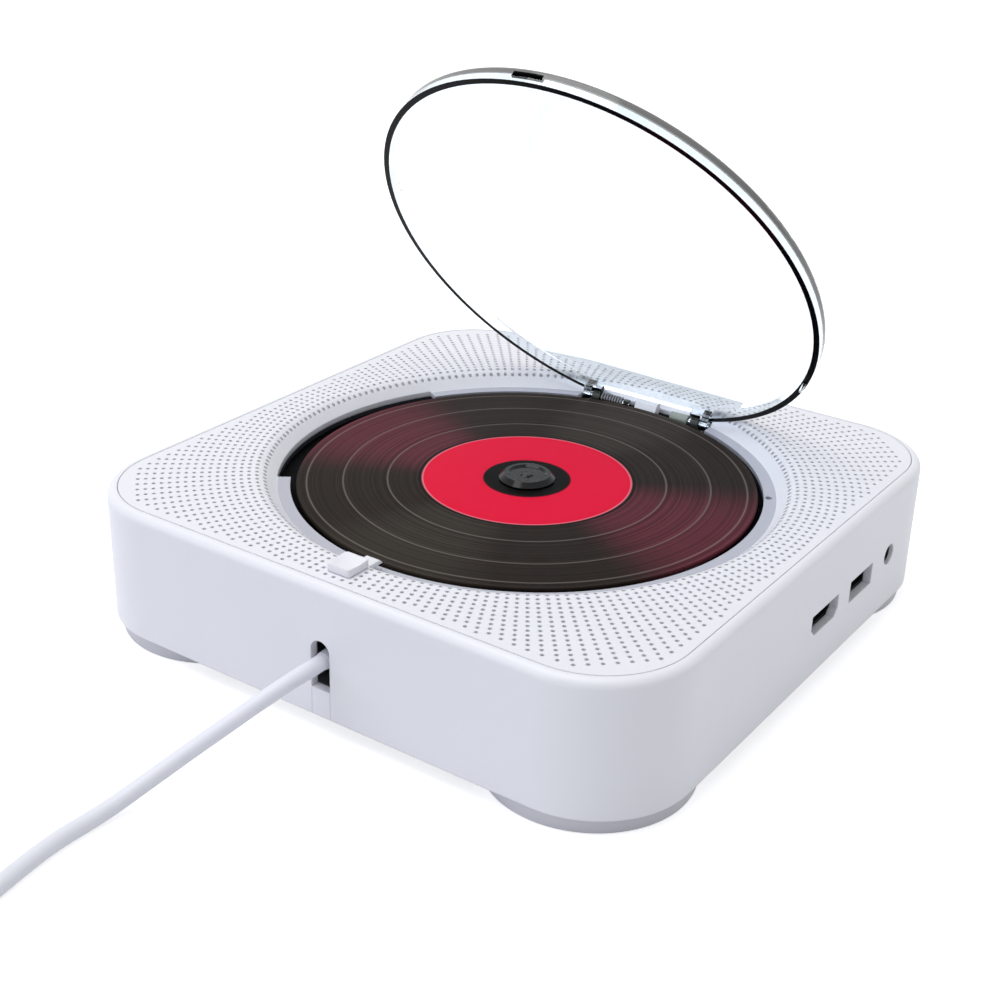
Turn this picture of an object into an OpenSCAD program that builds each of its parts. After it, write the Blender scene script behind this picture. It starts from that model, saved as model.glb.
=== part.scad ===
// Wall mounted disc player: a square case with a perforated deck, a clear round lid on a rear hinge,
// a top loading disc well, a pickup mechanism on rubber dampers, two speakers and a power cord.
// The origin is on the surface that the feet stand on, below the centre of the disc.
// X points to the socket side, Y to the hinge side and Z up through the lid.

/* [Case] */
// Width and depth of the case
case_w = 166; // [160:1:210]
// Height of the case from its bottom edge to the deck
case_h = 34.5; // [34:0.5:44]
// Radius of the four upright corners
case_corner = 25; // [20:1:32]
// Thickness of the side walls
case_wall = 2.2; // [1.8:0.1:3]
// Width of the rim that frames the deck
rim_w = 2.6; // [2.4:0.1:4]
// Radius that rounds the rim's outer edge
rim_round = 2.2; // [1:0.1:2.4]
// Thickness of the back cover
cover_t = 2; // [1.6:0.1:3]

/* [Feet] */
// Radius of each round foot
foot_r = 24.2; // [15:0.1:26]
// Height of the feet
foot_h = 4.5; // [3:0.1:8]
// Distance from the case's side to a foot
foot_inset = 1.8; // [1:0.1:4]
// Thickness of the rubber pad under a foot
pad_t = 0.8; // [0.5:0.1:1.5]

/* [Deck] */
// Thickness of the perforated deck
skin_t = 1.2; // [1:0.1:1.6]
// Thickness of the baffle under the deck
baffle_t = 1.2; // [1:0.1:1.6]
// Width of the seam round the deck
seam = 0.15; // [0.1:0.05:0.3]
// Diameter of a sound hole
hole_d = 0.95; // [0.7:0.05:1.2]
// Columns of sound holes round the well
hole_columns = 100; // [50:10:200]
// Distance between the rings of sound holes
hole_pitch = 1.98; // [1.8:0.02:4]
// Plain border between the sound holes and the seam
hole_border = 1.4; // [1:0.1:3]

/* [Well] */
// Radius of the well's ledge
ledge_r = 64.7; // [64.2:0.1:66]
// Inner radius of the ledge, round the disc
ledge_bore = 61.5; // [61.2:0.1:62]
// Depth of the ledge below the deck
ledge_depth = 4; // [3.6:0.1:5]
// Radius that rounds the top of the slope
slope_round = 5.3; // [4:0.1:6]
// Depth of the well's floor below the deck
floor_depth = 7.5; // [7.2:0.1:9]
// Angle at which the finger recess starts
recess_from = 150; // [140:1:160]
// Angle at which the finger recess ends
recess_to = 217; // [200:1:225]

/* [Disc] */
// Diameter of the disc
disc_d = 120;
// Thickness of the disc
disc_t = 1.2;
// Diameter of the hole in the disc
disc_hole = 15;
// Depth of the disc's top below the deck
disc_drop = 3.8; // [3.6:0.1:4]
// Height that the disc can lift off its seat under the closed lid
disc_lift = 1.6; // [1:0.1:2]

/* [Lid] */
// Radius of the lid
lid_r = 63.5; // [63:0.1:64]
// Thickness of the lid's rim and top
lid_wall = 1.6; // [1.2:0.1:2]
// Height of the lid
lid_h = 4.6; // [4.2:0.1:6]
// Depth of the closed lid's edge below the deck
lid_drop = 3.6; // [3.2:0.1:3.8]
// Angle at which the lid stands open
lid_open = 56; // [40:1:70]
// Distance from the disc's centre to the hinge axis
hinge_y = 61.6; // [61:0.1:62]
// Depth of the hinge axis below the deck
hinge_drop = 4.3; // [4:0.1:4.6]
// Distance from the middle to each hinge ear
ear_x = 19.4; // [17:0.1:24]
// Thickness of a hinge ear
ear_t = 2.4; // [1.8:0.1:3]
// Radius of a hinge pin
pin_r = 1; // [0.8:0.1:1.2]

/* [Latch] */
// Width of the latch tab
latch_w = 6.8; // [6:0.1:9]
// Length of the latch tab
latch_l = 7.4; // [6:0.1:9]
// Distance from the disc's centre to the tab's near edge
latch_from = 69; // [68.5:0.1:70]
// Height of the tab above the deck
latch_rise = 2; // [1.5:0.1:3]
// Travel of the latch
latch_travel = 2.5; // [2:0.1:3]

/* [Sockets] */
// Height of the sockets' axis above the case's bottom edge
socket_z = 14.6; // [14:0.1:16]
// Distance from the middle to the video socket
hdmi_y = 8; // [6:0.5:12]
// Distance from the middle to the data socket
usb_y = 29.4; // [28:0.2:32]
// Distance from the middle to the sound socket
jack_y = 46.9; // [46:0.1:50]
// Radius of the sound socket's bore, for a 3.5 mm plug
jack_bore_r = 1.8;

/* [Cord] */
// Diameter of the power cord
cord_d = 4; // [3:0.1:5]
// Width of the slot that the cord leaves by
slot_w = 5.5; // [5:0.1:8]
// Height of the slot's round top above the case's bottom edge
slot_top = 20.2; // [18:0.1:23]
// Height of the filler that closes the slot's lower end
filler_h = 7.4; // [6:0.1:9]

/* [Buttons] */
// Number of buttons on the top edge
button_count = 5;
// Distance between the buttons
button_pitch = 12; // [11:0.5:13]
// Width of a button
button_w = 9; // [7:0.1:10]
// Height of a button
button_h = 5; // [4:0.1:6]
// Travel of a button
button_travel = 0.6; // [0.3:0.1:0.8]

/* [Mechanism] */
// Nearest distance of the lens from the disc's centre
lens_start = 23; // [22:0.5:25]
// Travel of the pickup
pickup_travel = 35; // [30:1:36]
// Radius of the guide rods
rod_r = 1.5; // [1:0.1:2]
// Distance from the middle to each guide rod
rod_x = 17; // [15:0.5:18]
// Tooth size of the rack and its pinion
rack_module = 0.6;
// Teeth of the rack's pinion
pinion_teeth = 14;
// Tooth size of the reduction gears
gear_module = 0.5;
// Teeth of the large gear
gear_teeth = 36;
// Teeth of the motor's pinion
motor_teeth = 10;

/* [Wall mount] */
// Distance between the two keyholes
keyhole_pitch = 56; // [30:1:60]
// Distance from the middle up to the keyholes
keyhole_y = 42; // [40:1:46]
// Radius of a keyhole's entry
keyhole_r = 4.5; // [4:0.1:5.5]
// Radius of a keyhole's neck
keyhole_neck = 2.3; // [1.8:0.1:2.8]

/* [Hidden] */

$fn = 96;
eps = 0.01;
far = 200;
snug = 0.02;
running = 0.05;
loose = 0.15;

white = "#EDEFF6";
shade = "#C6C8D2";
black = "#17171A";
steel = "#A9ACB0";
rubber = "#2B2B2E";
board = "#2E6B45";
brass = "#C9A24B";
cord_white = "#E0E2EC";

half = case_w / 2;
straight = half - case_corner;
inner = half - case_wall;
base_z = foot_h;
cover_z = base_z + cover_t;
deck_z = base_z + case_h;
skin_z = deck_z - skin_t;
baffle_z = skin_z - baffle_t;
ledge_z = deck_z - ledge_depth;
floor_z = deck_z - floor_depth;
floor_t = 1.5;
tray_z = floor_z - floor_t;
plate_z = tray_z - 4;
power_z = base_z + 14.5;
power_from = 13 - half;
seat_t = 1.6;
seat_w = rim_w + 2.6;
panel_edge = rim_w + seam;
recess_r = ledge_r + 0.3;
depths = [0, skin_t, skin_t + baffle_t];

// A straight slope at this angle follows the rounded top of the well.
slope_angle = 45;
slope_drop = slope_round * (1 - cos(slope_angle));
well_rim = ledge_r + slope_round * sin(slope_angle) + (ledge_depth - slope_drop) / tan(slope_angle);

function reversed(list) = [for (i = [len(list) - 1 : -1 : 0]) list[i]];
function polar(r, angle) = r * [cos(angle), sin(angle)];
function unit(v) = v / norm(v);

module box(low, high) {
    translate(low) cube(high - low);
}

// A round bar between two places along an axis.
module bar_x(r, from, to, y, z) {
    translate([from, y, z]) rotate([0, 90, 0]) cylinder(r = r, h = to - from);
}

module bar_y(r, from, to, x, z) {
    translate([x, from, z]) rotate([-90, 0, 0]) cylinder(r = r, h = to - from);
}

module bar_z(r, from, to, place) {
    translate([place[0], place[1], from]) cylinder(r = r, h = to - from);
}

module slab(from, to) {
    translate([0, 0, from]) linear_extrude(to - from) children();
}

module rounded(size, r) {
    square([size[0] - 2 * r, size[1]], center = true);
    square([size[0], size[1] - 2 * r], center = true);
    for (x = [-1, 1], y = [-1, 1]) translate([x * (size[0] / 2 - r), y * (size[1] / 2 - r)]) circle(r = r);
}

module outline(inset) {
    rounded([2, 2] * (half - inset), case_corner - inset);
}

module pill(width, height) {
    square([width - height, height], center = true);
    for (x = [-1, 1]) translate([x * (width - height) / 2, 0]) circle(d = height);
}

module quarters() {
    for (turn = [0 : 90 : 270]) rotate(turn) children();
}

// Case: one moulding with a rounded rim, an inner seat for the deck and four screw bosses.
boss_r = 5;
boss_at = [for (x = [-36, 36], y = [-1, 1]) [x, y * (inner - boss_r + 0.2)]];
screw_r = 1.5;
pad_top = cover_z + 2;
hole_gap = 0.15;

module wall_section() {
    difference() {
        union() {
            translate([0, base_z]) square([case_wall, baffle_z - base_z]);
            translate([0, baffle_z - seat_t]) square([rim_w, deck_z - baffle_z + seat_t]);
            polygon([
                [case_wall - eps, baffle_z - seat_t - seat_w + case_wall], [seat_w, baffle_z - seat_t],
                [seat_w, baffle_z], [case_wall - eps, baffle_z]
            ]);
        }
        difference() {
            translate([-1, deck_z - rim_round]) square(rim_round + 1);
            translate([rim_round, deck_z - rim_round]) circle(r = rim_round);
        }
    }
}

module socket_mouths(grow) {
    translate([hdmi_y, base_z + socket_z]) polygon([
        [-7.5 - grow, 2.9 + grow], [-7.5 - grow, -0.9], [-5.6, -2.9 - grow],
        [5.6, -2.9 - grow], [7.5 + grow, -0.9], [7.5 + grow, 2.9 + grow]
    ]);
    translate([usb_y, base_z + socket_z]) square([usb_w, usb_h] + [2, 2] * grow, center = true);
}

module cord_slot(width, from) {
    top = base_z + slot_top;
    translate([-width / 2, from]) square([width, top - width / 2 - from]);
    translate([0, top - width / 2]) circle(d = width);
}

module case_shell() {
    color(white) difference() {
        union() {
            quarters() {
                translate([half, straight, 0]) rotate([90, 0, 0]) linear_extrude(2 * straight)
                    mirror([1, 0]) wall_section();
                translate([straight, straight, 0]) rotate_extrude(angle = 90)
                    translate([case_corner, 0]) mirror([1, 0]) wall_section();
            }
            intersection() {
                for (place = boss_at) bar_z(boss_r, pad_top, baffle_z - eps, place);
                slab(base_z, baffle_z) outline(case_wall / 2);
            }
            bar_y(spring_peg_r, -inner - eps, -inner + spring_peg, 0, spring_z);
        }
        for (place = boss_at) bar_z(screw_r, pad_top - 1, pad_top + 12, place);
        translate([inner - 2, 0, 0]) rotate([90, 0, 90]) linear_extrude(10) socket_mouths(0);
        bar_x(jack_barrel_r + hole_gap, inner - 2, half + 1, jack_y, jack_z);
        translate([0, 1 - inner, 0]) rotate([90, 0, 0]) linear_extrude(10) cord_slot(slot_w, base_z - 1);
        for (x = button_x) translate([x, half + 1, button_z]) rotate([90, 0, 0])
            linear_extrude(10) pill(button_w + 2 * hole_gap, button_h + 2 * hole_gap);
    }
}

// Deck: the white skin and the black baffle under it follow one line down into the well.
function well_line(depth) = concat(
    [for (a = [0 : 5 : slope_angle]) [
        well_rim - (slope_round - depth) * sin(a),
        deck_z - slope_round + (slope_round - depth) * cos(a)
    ]],
    [[ledge_r + depth * tan(slope_angle / 2), ledge_z - depth], [ledge_bore, ledge_z - depth]]
);

module deck_layer(top, bottom) {
    slab(deck_z - bottom, deck_z - top) difference() {
        outline(panel_edge);
        circle(r = well_rim);
        latch_slot();
        children();
    }
    difference() {
        rotate_extrude($fn = 180) polygon(concat(well_line(top), reversed(well_line(bottom))));
        well_openings();
    }
}

module latch_slot() {
    translate([-latch_slot, -slot_back]) square([2 * latch_slot, slot_back - slot_front]);
}

module well_openings() {
    rotate(recess_from) rotate_extrude(angle = recess_to - recess_from)
        translate([ledge_bore - 2, floor_z]) square([recess_r - ledge_bore + 2, deck_z - floor_z]);
    box([-bay_x, bay_front, floor_z], [bay_x, bay_back, deck_z + 1]);
    bar_z(switch_hole_r, floor_z, deck_z, switch_at);
    slab(floor_z, deck_z + 1) latch_slot();
}

hole_from = well_rim + 0.8;
rings = ceil((straight * sqrt(2) + case_corner - hole_from) / hole_pitch);

function inside(p, inset) =
    max(abs(p[0]), abs(p[1])) < half - inset
    && (min(abs(p[0]), abs(p[1])) < straight
        || norm([abs(p[0]) - straight, abs(p[1]) - straight]) < case_corner - inset);
function clear_of_latch(p) = abs(p[0]) > latch_slot + hole_d || p[1] > 0 || p[1] < -slot_back - hole_d;

module sound_holes() {
    for (k = [0 : rings], i = [0 : hole_columns - 1]) {
        place = polar(hole_from + k * hole_pitch, i * 360 / hole_columns);
        if (inside(place, panel_edge + hole_border + hole_d / 2) && clear_of_latch(place))
            translate(place) circle(d = hole_d, $fn = 16);
    }
}

module grille_panel() {
    color(white) deck_layer(0, skin_t) sound_holes();
}

// Each speaker hangs from a collar under the baffle, in a corner of the case.
speaker_r = 17;
speaker_side = half - seat_w - speaker_r - 1.3;
speaker_corner = straight + (case_corner - seat_w - speaker_r - 0.67) / sqrt(2);
speaker_at = [for (x = [-1, 1]) [x, -1] * min(speaker_side, speaker_corner)];
collar_wall = 2.4;
collar_z = baffle_z - 3.6;
sound_r = 12;
cloth_r = 13;
cloth_t = 0.75;

module speaker_baffle() {
    color(black) difference() {
        union() {
            deck_layer(skin_t, skin_t + baffle_t) for (place = speaker_at) translate(place) circle(r = sound_r);
            for (place = speaker_at) slab(collar_z, baffle_z + eps) translate(place) difference() {
                circle(r = speaker_r);
                circle(r = speaker_r - collar_wall);
            }
            for (side = [-1, 1]) latch_rail(side);
        }
        for (place = speaker_at) bar_z(cloth_r + loose, skin_z - cloth_t, skin_z + 1, place);
    }
}

module speaker_cloths() {
    color(rubber) for (place = speaker_at) bar_z(cloth_r, skin_z - cloth_t, skin_z - 0.05, place);
}

module speaker(place) {
    top = collar_z;
    color(black) translate([place[0], place[1], 0]) difference() {
        rotate_extrude() polygon([
            [0, top - 12], [9, top - 12], [9, top - 7.5], [14, top - 1.2], [speaker_r, top - 1.2],
            [speaker_r, top], [14, top], [14, top - 0.6], [7.4, top - 7], [0, top - 7]
        ]);
        for (turn = [45 : 90 : 315]) rotate(turn) translate([15.6, 0, top - 2]) cylinder(r = 0.8, h = 3);
    }
}

module speaker_left() {
    speaker(speaker_at[0]);
}

module speaker_right() {
    speaker(speaker_at[1]);
}

module speaker_cones() {
    top = collar_z;
    color(rubber) for (place = speaker_at) translate([place[0], place[1], 0]) rotate_extrude() polygon([
        [0, top - 5.6], [4.6, top - 4.6], [11.6, top - 0.5], [12.6, top + 0.6], [13.9, top], [13.9, top + 0.4],
        [12.6, top + 1], [11.2, top - 0.1], [4.4, top - 4], [0, top - 3.4]
    ]);
}

// Well: a black pan under the deck, with windows for the turntable and the pickup.
tray_bore = ledge_r + 0.2;
tray_r = tray_bore + 1.5;
window_w = 16;
window_from = 12;
window_to = lens_start + pickup_travel + 5;
spindle_window_r = 17.5;
damper_at = [[-25, 17], [36, 12], [-25, -57], [30, -55]];
post_r = 1.7;

module well_tray() {
    color(black) difference() {
        union() {
            bar_z(tray_r, tray_z, floor_z, [0, 0]);
            slab(floor_z - eps, ledge_z - depths[2]) difference() {
                circle(r = tray_r);
                circle(r = tray_bore);
            }
            for (place = damper_at) bar_z(post_r, damper_z, tray_z + eps, place);
        }
        bar_z(spindle_window_r, tray_z - 1, floor_z + 1, [0, 0]);
        box([-window_w / 2, -window_to, tray_z - 1], [window_w / 2, -window_from, floor_z + 1]);
        bar_z(switch_hole_r, tray_z - 1, floor_z + 1, switch_at);
        for (place = damper_at) bar_z(0.9, damper_z - 1, damper_z + 4, place);
    }
}

// Back cover: a plate with keyholes, screw pads, board posts and the feet.
foot_at = [for (x = [-1, 1], y = [-1, 1]) [x, y] * (half - foot_inset - foot_r)];
stem_r = 3;
cover_gap = 0.15;
main_board_z = cover_z + 2;
main_low = [-45, -28];
main_high = [40, 32];
main_posts = [[-41, -24], [36, -24], [-41, 28], [36, 28]];
board_t = 1.6;
socket_board_z = base_z + socket_z - 3 - board_t;
socket_posts = [[64, 0], [76, 0], [64, 51], [76, 51]];
power_board_z = power_z - 3.9;
power_posts = [for (x = [-6, 6], y = [2, 16]) [x, power_from + y]];
keyhole_at = [for (x = [-1, 1]) [x * keyhole_pitch / 2, keyhole_y]];
keyhole_run = 9;
keyhole_cup = 4.5;
keyhole_wall = 1.2;

module keyhole(grow) {
    circle(r = keyhole_r + grow);
    translate([-keyhole_r - grow, 0]) square([2 * (keyhole_r + grow), keyhole_run]);
    translate([0, keyhole_run]) circle(r = keyhole_r + grow);
}

module back_cover() {
    color(white) difference() {
        union() {
            slab(base_z, cover_z) outline(case_wall + cover_gap);
            for (place = boss_at) bar_z(boss_r - 0.4, cover_z - eps, pad_top, place);
            for (place = main_posts) bar_z(2.5, cover_z - eps, main_board_z, place);
            for (place = socket_posts) bar_z(2.5, cover_z - eps, socket_board_z, place);
            for (place = power_posts) bar_z(2.2, cover_z - eps, power_board_z, place);
            for (place = keyhole_at) slab(cover_z - eps, cover_z + keyhole_cup) translate(place) keyhole(keyhole_wall);
            for (x = [-27, 27]) box([x - 1.5, button_board_y - 2, cover_z - eps],
                [x + 1.5, button_board_y + board_t + 2, button_board_z + 4]);
        }
        for (place = boss_at) {
            bar_z(screw_r + 0.2, base_z - 1, pad_top + 1, place);
            bar_z(3.2, base_z - 1, base_z + 2.4, place);
        }
        for (place = foot_at) bar_z(stem_r + hole_gap, base_z - 1, cover_z + 1, place);
        for (place = keyhole_at) {
            bar_z(keyhole_r, base_z - 1, cover_z + keyhole_cup - keyhole_wall, place);
            slab(base_z - 1, cover_z) translate(place) {
                translate([-keyhole_neck, 0]) square([2 * keyhole_neck, keyhole_run]);
                translate([0, keyhole_run]) circle(r = keyhole_neck);
            }
            slab(cover_z - eps, cover_z + keyhole_cup - keyhole_wall) translate(place) keyhole(0);
        }
        for (place = main_posts) bar_z(1, cover_z - 0.5, main_board_z + 1, place);
        for (place = socket_posts) bar_z(1, cover_z, socket_board_z + 1, place);
        for (place = power_posts) bar_z(1, cover_z, power_board_z + 1, place);
        for (x = [-27, 27]) box([x - 2, button_board_y - 0.1, button_board_z],
            [x + 2, button_board_y + board_t + 0.1, button_board_z + 5]);
    }
}

module case_screws() {
    color(steel) for (place = boss_at) difference() {
        union() {
            bar_z(2.9, base_z + 0.4, base_z + 2.4, place);
            bar_z(screw_r - snug, base_z + 2.3, pad_top + 10, place);
        }
        bar_z(1.4, base_z, base_z + 1.6, place, $fn = 6);
    }
}

module feet() {
    color(shade) for (place = foot_at) {
        translate([place[0], place[1], 0]) rotate_extrude() polygon([
            [0, pad_t], [foot_r - 1.2, pad_t], [foot_r, pad_t + 1.2], [foot_r, base_z], [0, base_z]
        ]);
        bar_z(stem_r, base_z - eps, cover_z + 0.6, place);
    }
}

module foot_pads() {
    color(shade) for (place = foot_at) bar_z(foot_r - 2.5, 0, pad_t, place);
}

module slot_filler() {
    width = slot_w - 2 * snug;
    top = base_z + filler_h;
    color(white) {
        box([-width / 2, -half, base_z], [width / 2, -inner + eps, top]);
        box([-width / 2 - 1.5, -inner, cover_z + 0.1], [width / 2 + 1.5, -inner + 1, top - 1]);
    }
}

// Lid: a shallow clear cap with a straight back edge, two hinge ears, a catch window and a switch peg.
// The back edge is relieved in the middle, so that the disc's rim has room to lift.
hinge_z = deck_z - hinge_drop;
lid_low = deck_z - lid_drop;
lid_top = lid_low + lid_h;
lid_back = hinge_y - 1.6;
lid_edge = 1.2;
barrel_r = 2;
bay_x = ear_x + ear_t / 2 + 0.6;
bay_back = hinge_y + barrel_r + 0.3;
bay_front = ledge_bore - 4;
catch_w = 8.4;
catch_low = lid_low + 1.5;
peg_r = 0.45;
switch_hole_r = 0.9;
switch_at = polar(lid_r - lid_wall / 2, 27.5);
peg_low = ledge_z - 2.6;

module ear(x) {
    difference() {
        union() {
            bar_x(barrel_r, x - ear_t / 2, x + ear_t / 2, hinge_y, hinge_z);
            translate([x - ear_t / 2, 0, 0]) rotate([90, 0, 90]) linear_extrude(ear_t) polygon([
                [lid_back - lid_wall, lid_low], [lid_back - lid_wall, lid_top - lid_wall],
                [lid_back + 0.4, lid_top - lid_wall], [hinge_y + barrel_r, hinge_z],
                [hinge_y, hinge_z - barrel_r]
            ]);
        }
        bar_x(pin_r + running, x - ear_t, x + ear_t, hinge_y, hinge_z);
    }
}

module closed_lid() {
    relief_x = sqrt(pow(disc_d / 2, 2) - pow(lid_back - lid_wall, 2)) + 1;
    difference() {
        union() {
            intersection() {
                union() {
                    rotate_extrude($fn = 180) difference() {
                        translate([0, lid_low]) square([lid_r, lid_h]);
                        translate([-1, lid_low - 1]) square([lid_r - lid_wall + 1, lid_h - lid_wall + 1]);
                        difference() {
                            translate([lid_r - lid_edge, lid_top - lid_edge]) square(lid_edge + 1);
                            translate([lid_r - lid_edge, lid_top - lid_edge]) circle(r = lid_edge);
                        }
                    }
                    intersection() {
                        bar_z(lid_r - lid_wall / 2, lid_low, lid_top - lid_wall / 2, [0, 0]);
                        box([-half, lid_back - lid_wall, lid_low], [half, half, lid_top]);
                    }
                }
                box([-half, -half, lid_low - 1], [half, lid_back, lid_top + 1]);
            }
            for (side = [-1, 1]) ear(side * ear_x);
            bar_z(peg_r, peg_low, lid_low + 1, switch_at);
        }
        box([-catch_w / 2, -lid_r - 1, catch_low], [catch_w / 2, 4 - lid_r, lid_top - lid_wall]);
        box([-relief_x, lid_back - lid_wall - 1, lid_low - 1], [relief_x, lid_back + eps, disc_top + disc_lift + 0.1]);
    }
}

module lid() {
    color("#D8DEE6", 0.4) translate([0, hinge_y, hinge_z]) rotate([-lid_open, 0, 0])
        translate([0, -hinge_y, -hinge_z]) closed_lid();
}

// Hinge: a bracket on the well's floor with three lugs, two pins, a spring, a stop and a damper.
lug_t = 2.4;
lug_r = 1.65;
lug_x = ear_x - ear_t / 2 - 0.6 - lug_t / 2;
bracket_z = floor_z + 1;
bracket_front = 57.8;
bracket_back = 62;
mid_lug_x = -6.4;
damper_x = [8.5, 14];
housing_r = 1.6;
stop_x = 3.5;
part_front = ledge_bore - 0.9;
part_back = bay_back - 0.4;

module hinge_bracket() {
    color("#4A4F49") difference() {
        union() {
            box([-lug_x - lug_t / 2, bracket_front, floor_z], [lug_x + lug_t / 2, bracket_back, bracket_z]);
            for (side = [-1, 1]) {
                bar_x(lug_r, side * lug_x - lug_t / 2, side * lug_x + lug_t / 2, hinge_y, hinge_z);
                box([side * lug_x - lug_t / 2, hinge_y - lug_r, floor_z],
                    [side * lug_x + lug_t / 2, bracket_back, hinge_z]);
            }
            box([mid_lug_x - 0.8, part_front, floor_z], [mid_lug_x + 0.8, bracket_back, hinge_z + 1.3]);
        }
        bar_x(pin_r + snug, -bay_x, bay_x, hinge_y, hinge_z);
    }
}

module hinge_pins() {
    end = ear_x + ear_t / 2 + 0.3;
    color(steel) {
        bar_x(pin_r, -end, mid_lug_x + 1, hinge_y, hinge_z);
        bar_x(pin_r, damper_x[0] + 1, end, hinge_y, hinge_z);
    }
}

wire = 0.3;
coil_mean = pin_r + 0.1 + wire;
coil_turns = 8;
coil_from = -lug_x + lug_t / 2 + wire + 0.1;
coil_run = mid_lug_x - 0.8 - wire - 0.1 - coil_from;
coil_steps = 16;
leg = 3.2;

function coil_point(i) = let (turn = i / coil_steps) [
    coil_from + coil_run * turn / coil_turns,
    hinge_y + coil_mean * cos(360 * turn),
    hinge_z + coil_mean * sin(360 * turn)
];

// A tube swept along a path; up is any direction that the path never takes.
module tube(path, r, sides, up) {
    last = len(path) - 1;
    points = [for (i = [0 : last]) let (
        along = unit(path[min(i + 1, last)] - path[max(i - 1, 0)]),
        across = unit(cross(along, up)),
        over = cross(across, along)
    ) for (k = [0 : sides - 1]) path[i] + r * (cos(360 * k / sides) * across + sin(360 * k / sides) * over)];
    polyhedron(points, concat(
        [[for (k = [sides - 1 : -1 : 0]) k]],
        [[for (k = [0 : sides - 1]) last * sides + k]],
        [for (i = [0 : last - 1], k = [0 : sides - 1]) let (next = (k + 1) % sides)
            [i * sides + k, i * sides + next, (i + 1) * sides + next, (i + 1) * sides + k]]
    ));
}

module lid_spring() {
    color(steel) tube([for (i = [0 : coil_turns * coil_steps]) coil_point(i)], wire, 6, [1, 0, 0]);
}

module lid_damper() {
    color("#9AA39A") difference() {
        union() {
            box([damper_x[0], part_front, bracket_z], [damper_x[1], part_back, hinge_z + 0.9]);
            bar_x(housing_r, damper_x[0], damper_x[1], hinge_y, hinge_z);
        }
        bar_x(pin_r + snug, damper_x[0] - 1, damper_x[1] + 1, hinge_y, hinge_z);
    }
}

// The stop's top follows the open lid's back edge, a small gap away.
function stop_point(rise) = let (back = lid_back + loose - hinge_y) [
    hinge_y + back * cos(lid_open) + rise * sin(lid_open),
    hinge_z - back * sin(lid_open) + rise * cos(lid_open)
];

module lid_stop() {
    high = stop_point(3.3);
    color(white) translate([-stop_x, 0, 0]) rotate([90, 0, 90]) linear_extrude(2 * stop_x) polygon([
        [part_front, bracket_z], [part_front, hinge_z], stop_point(1), high,
        [high[0], hinge_z], [bracket_back, bracket_z]
    ]);
}

// The lid's peg presses this switch through a hole in the ledge.
module lid_switch() {
    color(rubber) {
        translate([switch_at[0], switch_at[1], 0]) slab(tray_z - 5, tray_z) rounded([6, 6], 0.6);
        bar_z(switch_hole_r - 0.3, tray_z - eps, peg_low - 0.1, switch_at);
    }
}

// Latch: a tab on the deck whose hook goes through the slope into the lid's catch window.
latch_z = deck_z + 0.2;
latch_slot = 2.4;
hook_w = 4;
hook_top = catch_low + 1.1;
hook_low = catch_low + 0.1;
hook_tip = lid_r - 0.8;
slot_front = ledge_r + 1.3;
stem_from = latch_from + 1.2;
stem_t = 2.4;
slot_back = stem_from + stem_t + latch_travel + 0.4;
slide_w = 11;
slide_z = baffle_z - 0.3;
slide_t = 1.5;
slide_from = latch_from + 1.5;
slide_to = slide_from + 4.5;
arm_from = stem_from + 0.8;
arm_to = arm_from + 2;
spring_z = tray_z - 0.5;
spring_r = 1.8;
spring_wire = 0.3;
spring_peg_r = 1;
spring_peg = 2.2;

module latch() {
    mid = -latch_from - latch_l / 2;
    color(white) {
        difference() {
            slab(latch_z, deck_z + latch_rise) translate([0, mid]) rounded([latch_w, latch_l], 0.8);
            translate([0, mid, deck_z + latch_rise + 11.4]) sphere(r = 12);
        }
        box([-hook_w / 2, -stem_from - stem_t, slide_z - eps], [hook_w / 2, -stem_from, latch_z + eps]);
        translate([-hook_w / 2, 0, 0]) rotate([90, 0, 90]) linear_extrude(hook_w) polygon([
            [-stem_from - eps, hook_low], [-hook_tip, hook_low], [-hook_tip, hook_low + 0.2],
            [-hook_tip - 0.8, hook_top], [-stem_from - eps, hook_top]
        ]);
        box([-slide_w / 2, -slide_to, slide_z - slide_t], [slide_w / 2, -slide_from, slide_z]);
        box([-2.5, -arm_to, spring_z - 2], [2.5, -arm_from, slide_z - eps]);
    }
}

module latch_rail(side) {
    rail = slide_w / 2 + 0.3;
    low = slide_z - slide_t - 0.3;
    mirror([side > 0 ? 0 : 1, 0, 0]) {
        box([rail, -slide_to - latch_travel, low - 0.8], [rail + 1.2, -slide_from + 0.5, baffle_z + eps]);
        box([rail - 1.2, -slide_to - latch_travel, low - 0.8], [rail + eps, -slide_from + 0.5, low]);
    }
}

spring_turns = 5;

function latch_coil(i) = let (turn = i / coil_steps) [
    (spring_r - spring_wire) * cos(360 * turn),
    -inner + spring_wire + 0.1 + (inner - arm_to - 2 * spring_wire - 0.2) * turn / spring_turns,
    spring_z + (spring_r - spring_wire) * sin(360 * turn)
];

module latch_spring() {
    color(steel) tube([for (i = [0 : spring_turns * coil_steps]) latch_coil(i)], spring_wire, 6, [0, 1, 0]);
}

// Disc and turntable.
disc_top = deck_z - disc_drop;
disc_z = disc_top - disc_t;
mat_t = 0.5;
platform_r = 14.5;
platform_z = floor_z + 0.7;
hub_r = disc_hole / 2 - loose;
hub_top = disc_top + 1.6;
hub_edge = 1.2;
spindle_r = 1;
spindle_low = plate_z - 5.5;
spindle_top = disc_z + 0.5;
sleeve_r = 3;
sleeve_z = tray_z - 0.5;
ball_r = 1.1;
ball_x = hub_r + 0.1 - ball_r;
ball_z = disc_z + disc_t / 2;

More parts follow.
